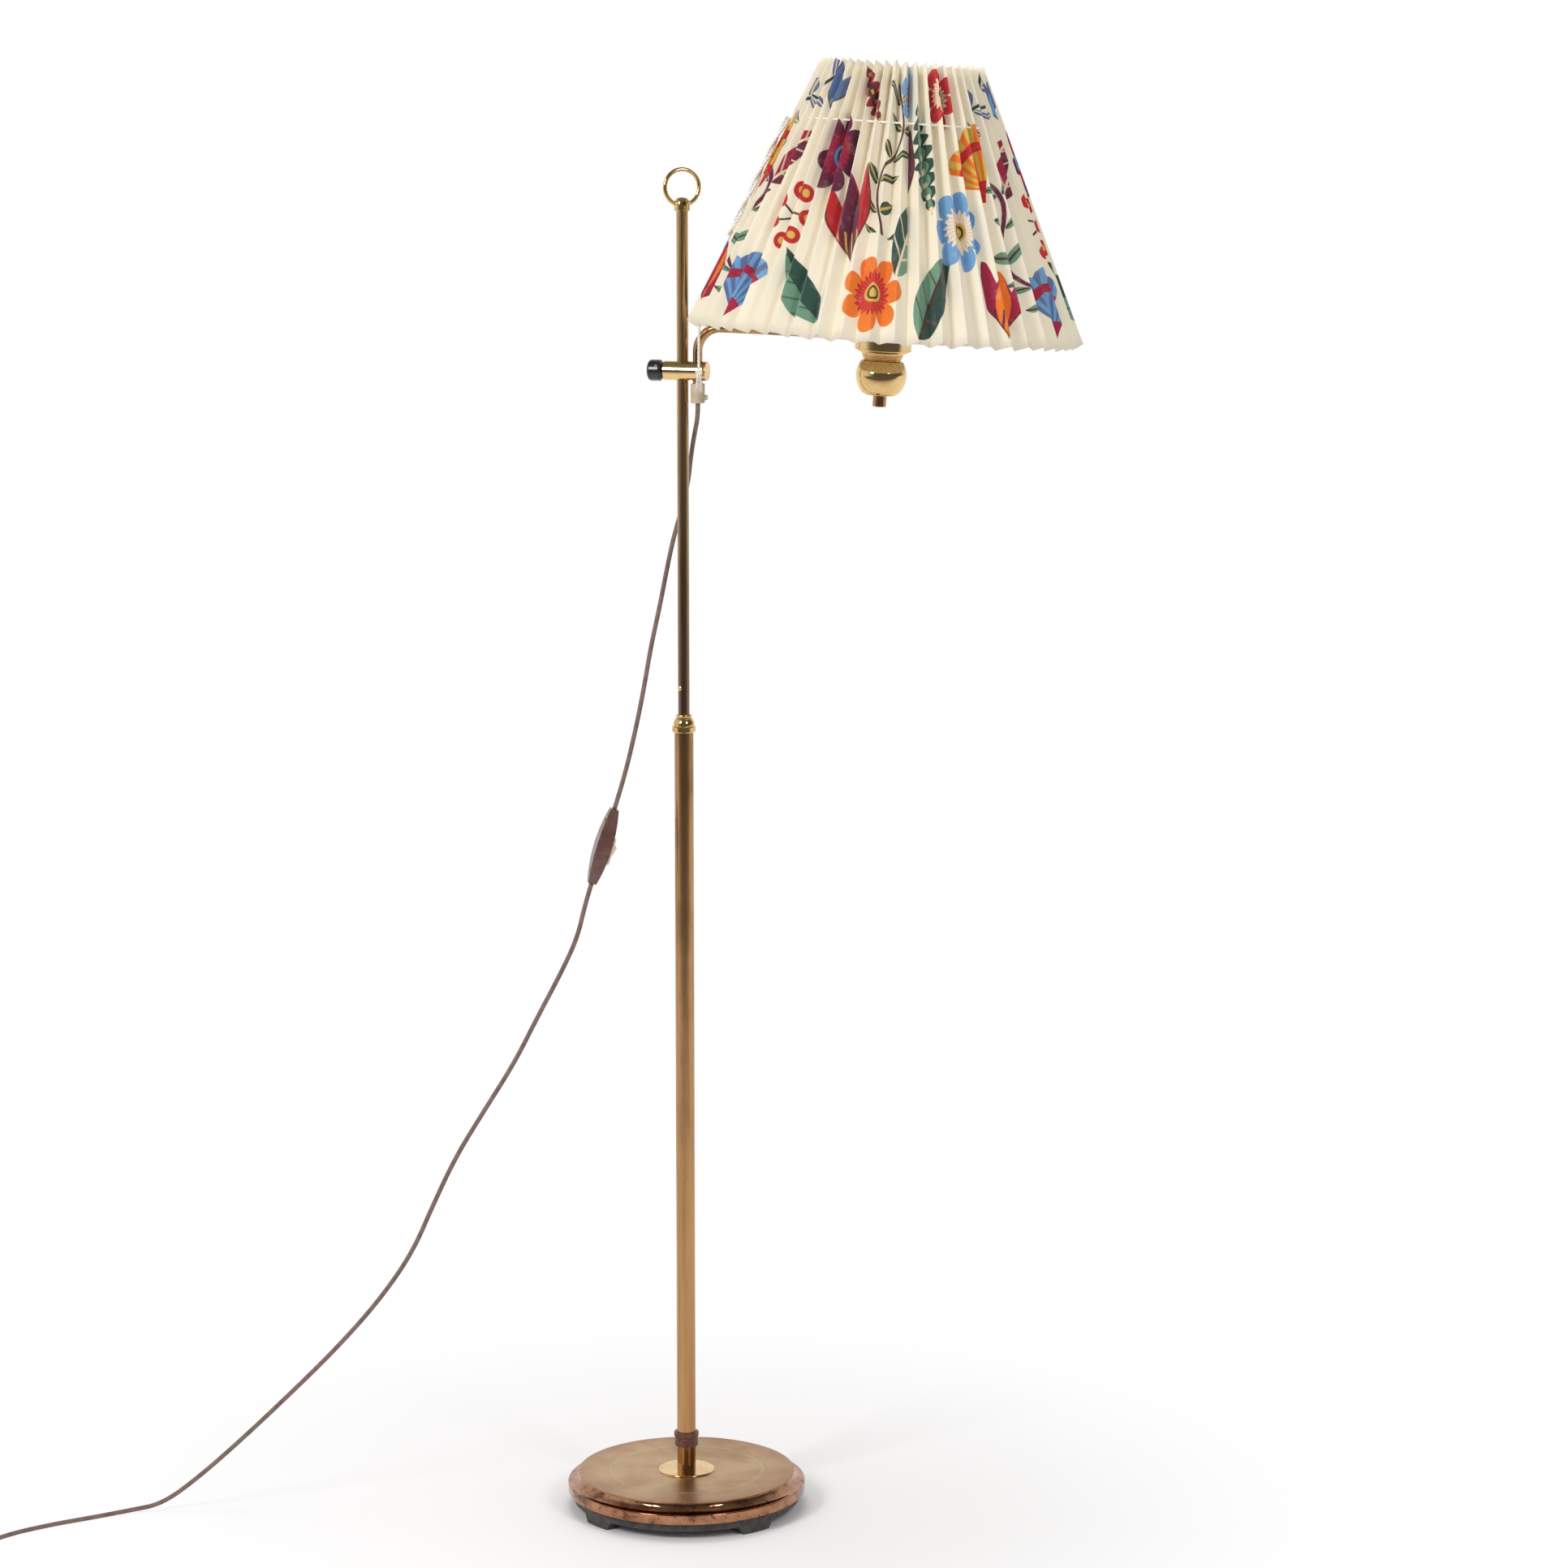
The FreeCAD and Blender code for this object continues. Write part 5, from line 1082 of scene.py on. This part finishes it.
def make_shade(materials):
    """Pleated cloth: flat panels between sharp folds, each a little different."""
    pitch = math.tau / PLEATS
    folds = 2 * PLEATS
    sway = [random.uniform(-1, 1) for _ in range(folds)]
    push = [random.uniform(-1, 1) for _ in range(folds)]
    bow = [random.uniform(-1, 1) for _ in range(folds)]
    points, strip, faces = [], [], []
    columns = folds * len(FOLD_STEPS)
    for row in range(SHADE_ROWS + 1):
        share = row / SHADE_ROWS
        loose = 0.35 + 0.65 * (1 - share)
        for fold in range(folds):
            for step in FOLD_STEPS:
                after = (fold + 1) % folds
                blend = step * step * (3 - 2 * step)
                jitter = (1 - blend) * sway[fold] + blend * sway[after]
                out = (1 - blend) * push[fold] + blend * push[after]
                curve = (1 - blend) * bow[fold] + blend * bow[after]
                azimuth = FIRST_VALLEY + (fold + step) * pitch / 2
                azimuth += jitter * FOLD_SWAY * loose
                azimuth += curve * FOLD_BOW * math.sin(math.pi * share)
                rise = fold_rise(step, FOLD_WIDTH)
                rise = rise if fold % 2 == 0 else 1 - rise
                place = shade_point(azimuth, share, 1 - rise)
                flat = Vector((place.x, place.y, 0))
                place += flat.normalized() * (out * FOLD_PUSH * loose)
                place.z += (out * HEM_PUSH + (rise - 0.5) * HEM_POINT) * (1 - share) ** 6
                place.z -= TOP_DROP * curve * share
                points.append(seated(place))
                strip.append(((fold + step - SEAM_FOLD) % folds * PANEL_WIDTH, share * SLANT))
    for first in range(0, SHADE_ROWS * columns, columns):
        for k in range(columns):
            n = (k + 1) % columns
            faces.append((first + k, first + n, first + columns + n, first + columns + k))
    mesh = bpy.data.meshes.new("pleated_shade")
    mesh.from_pydata(points, [], faces)
    layer = mesh.uv_layers.new(name="strip")
    whole = folds * PANEL_WIDTH
    for face in mesh.polygons:
        face.use_smooth = True
        longest = max(strip[vertex][0] for vertex in face.vertices)
        for corner, vertex in zip(face.loop_indices, face.vertices):
            u, v = strip[vertex]
            if longest - u > whole / 2:
                u += whole
            layer.data[corner].uv = (u, v)
    piece = add_object("pleated_shade", mesh, materials, "shade_cloth")
    mesh.materials.append(shade_backing())
    wall = piece.modifiers.new("wall", "SOLIDIFY")
    wall.thickness = CLOTH_THICKNESS
    wall.offset = -1
    wall.material_offset = 1
    wall.material_offset_rim = 0
    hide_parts("shade")
    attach(piece, "arm")


# ---- drawstring ----
def shade_place(azimuth_degrees, share, off_ridge):
    ridge, depth, level = shade_levels(share)
    turn = math.radians(azimuth_degrees)
    return seated(ring_point(turn, ridge + off_ridge, level))


def string_piece(name, line, diameter, materials):
    return add_object(name, rope_mesh(name, line, diameter), materials, "cotton")


def make_drawstring(materials):
    """The string through the folds, and the doubled strand that hangs down the near left side."""
    ridge, depth, level = shade_levels(STITCH_SHARE)
    loop_radius = ridge - depth / 2
    ring = [seated(ring_point(math.tau * k / 240, loop_radius, level)) for k in range(241)]
    loop = string_piece("stitched_string", ring, STITCH_THICKNESS, materials)
    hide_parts("drawstring_loop")
    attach(loop, "arm")

    down = [shade_place(*row) for row in BIGHT_LINE]
    axis_line = resampled(spline_line(down, 12), BIGHT_STEP)
    ways, sides = steady_frames(axis_line)
    legs = [[], []]
    for k, (place, way, side) in enumerate(zip(axis_line, ways, sides)):
        turn = BIGHT_TURN * k
        out = side * math.cos(turn) + way.cross(side) * math.sin(turn)
        off = out * BIGHT_HALF_GAP
        legs[0].append(place + off)
        legs[1].append(place - off)
    tip = axis_line[-1] + ways[-1] * BIGHT_FOLD
    fold = [tip + (leg[-1] - axis_line[-1]) * 0.8 for leg in legs]
    line = resampled(spline_line(legs[0] + fold + legs[1][::-1], 16), STRING_STEP)
    bight = string_piece("string_bight", line, STRING_DIAMETER, materials)
    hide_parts("drawstring_bight")
    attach(bight, "arm")
    line_length(line)


def make_tail(materials):
    """The string's end: down inside a valley, under the hem, to its knot and frayed tuft."""
    low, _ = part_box("drawstring_tail")

    def valley(share):
        ridge, depth, level = shade_levels(share)
        radius = ridge - depth + STRING_DIAMETER / 2 + TAIL_GAP
        return seated(ring_point(FIRST_VALLEY, radius, level))

    rim = valley(RIM_SHARE)
    route = [valley(STITCH_SHARE)] + [valley(share) for share in TAIL_SHARES]
    route += [rim + Vector((0.0006, 0, -0.008)), rim + Vector((0, 0, -0.018)),
              Vector((rim.x, rim.y, low.z))]
    line = resampled(spline_line(route, 16), STRING_STEP)
    tail = string_piece("string_tail", line, STRING_DIAMETER, materials)
    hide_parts("drawstring_tail")
    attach(tail, "arm")

    knot_centre = Vector((rim.x, rim.y, low.z - KNOT_DROP))
    knot_line = []
    for k in range(KNOT_STEPS + 1):
        a = math.tau * k / KNOT_STEPS
        loop = Vector((math.sin(a) + 2 * math.sin(2 * a), -1.4 * math.sin(3 * a),
                       math.cos(a) - 2 * math.cos(2 * a)))
        knot_line.append(knot_centre + loop * KNOT_SCALE)
    knot = string_piece("string_knot", knot_line, STRING_DIAMETER * 0.95, materials)
    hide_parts("drawstring_knot")
    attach(knot, "arm")

    points, faces = [], []
    for strand in range(TUFT_FIBRES):
        turn = random.uniform(0, math.tau)
        spread = random.uniform(0.0, 1.0)
        length = random.uniform(0.010, 0.0185)
        side = RIGHT * (TUFT_GAP if strand % 2 else -TUFT_GAP)
        start = knot_centre + side * 0.6 + Vector((0, 0, -0.002))
        out = Vector((math.cos(turn), math.sin(turn), 0)) * spread
        fibre = [start + side * beside + out * spread_out - Vector((0, 0, length * down))
                 for beside, spread_out, down in FIBRE_PATH]
        fibre = spline_line(fibre, 3)
        radii = [FIBRE_RADIUS * (1 - 0.5 * k / (len(fibre) - 1)) for k in range(len(fibre))]
        take_in(tube_mesh("fibre", fibre, radii, 5), points, faces)
    mesh = bpy.data.meshes.new("string_tuft")
    mesh.from_pydata(points, [], faces)
    tuft = add_object("string_tuft", mesh, materials, "cotton")
    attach(tuft, "arm")
    line_length(line)


# ---- carrying ring ----
def make_ring(materials):
    """The upright ring on the cap, turned so that its open side faces the room."""
    low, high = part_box("carry_ring")
    centre = (low + high) / 2
    wire = RING_WIRE / 2
    middle = (high.z - low.z) / 2 - wire
    along = Matrix.Rotation(RING_AZIMUTH, 3, "Z") @ Vector((0, 1, 0))
    turns = [math.tau * k / 72 for k in range(73)]
    line = [centre + along * (middle * math.cos(a)) + Vector((0, 0, middle * math.sin(a)))
            for a in turns]
    tube = tube_mesh("standing_ring", line, wire, 16)
    ring = add_object("standing_ring", tube, materials, "polished_brass")
    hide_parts("carry_ring")
    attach(ring, "mast")


# ---- put it together ----
make_camera()
make_world()
make_light()
make_floor()
materials = make_materials()
make_base(materials)
make_cords(materials)
slot_of = {row["node"]: row["material_slot"] for row in frame["record"]["subparts"]}
for name, node in nodes.items():
    node.data.materials.clear()
    node.data.materials.append(materials[slot_of[name]])
make_shade(materials)
make_drawstring(materials)
make_tail(materials)
make_ring(materials)

bpy.context.scene.view_settings.view_transform = "Standard"
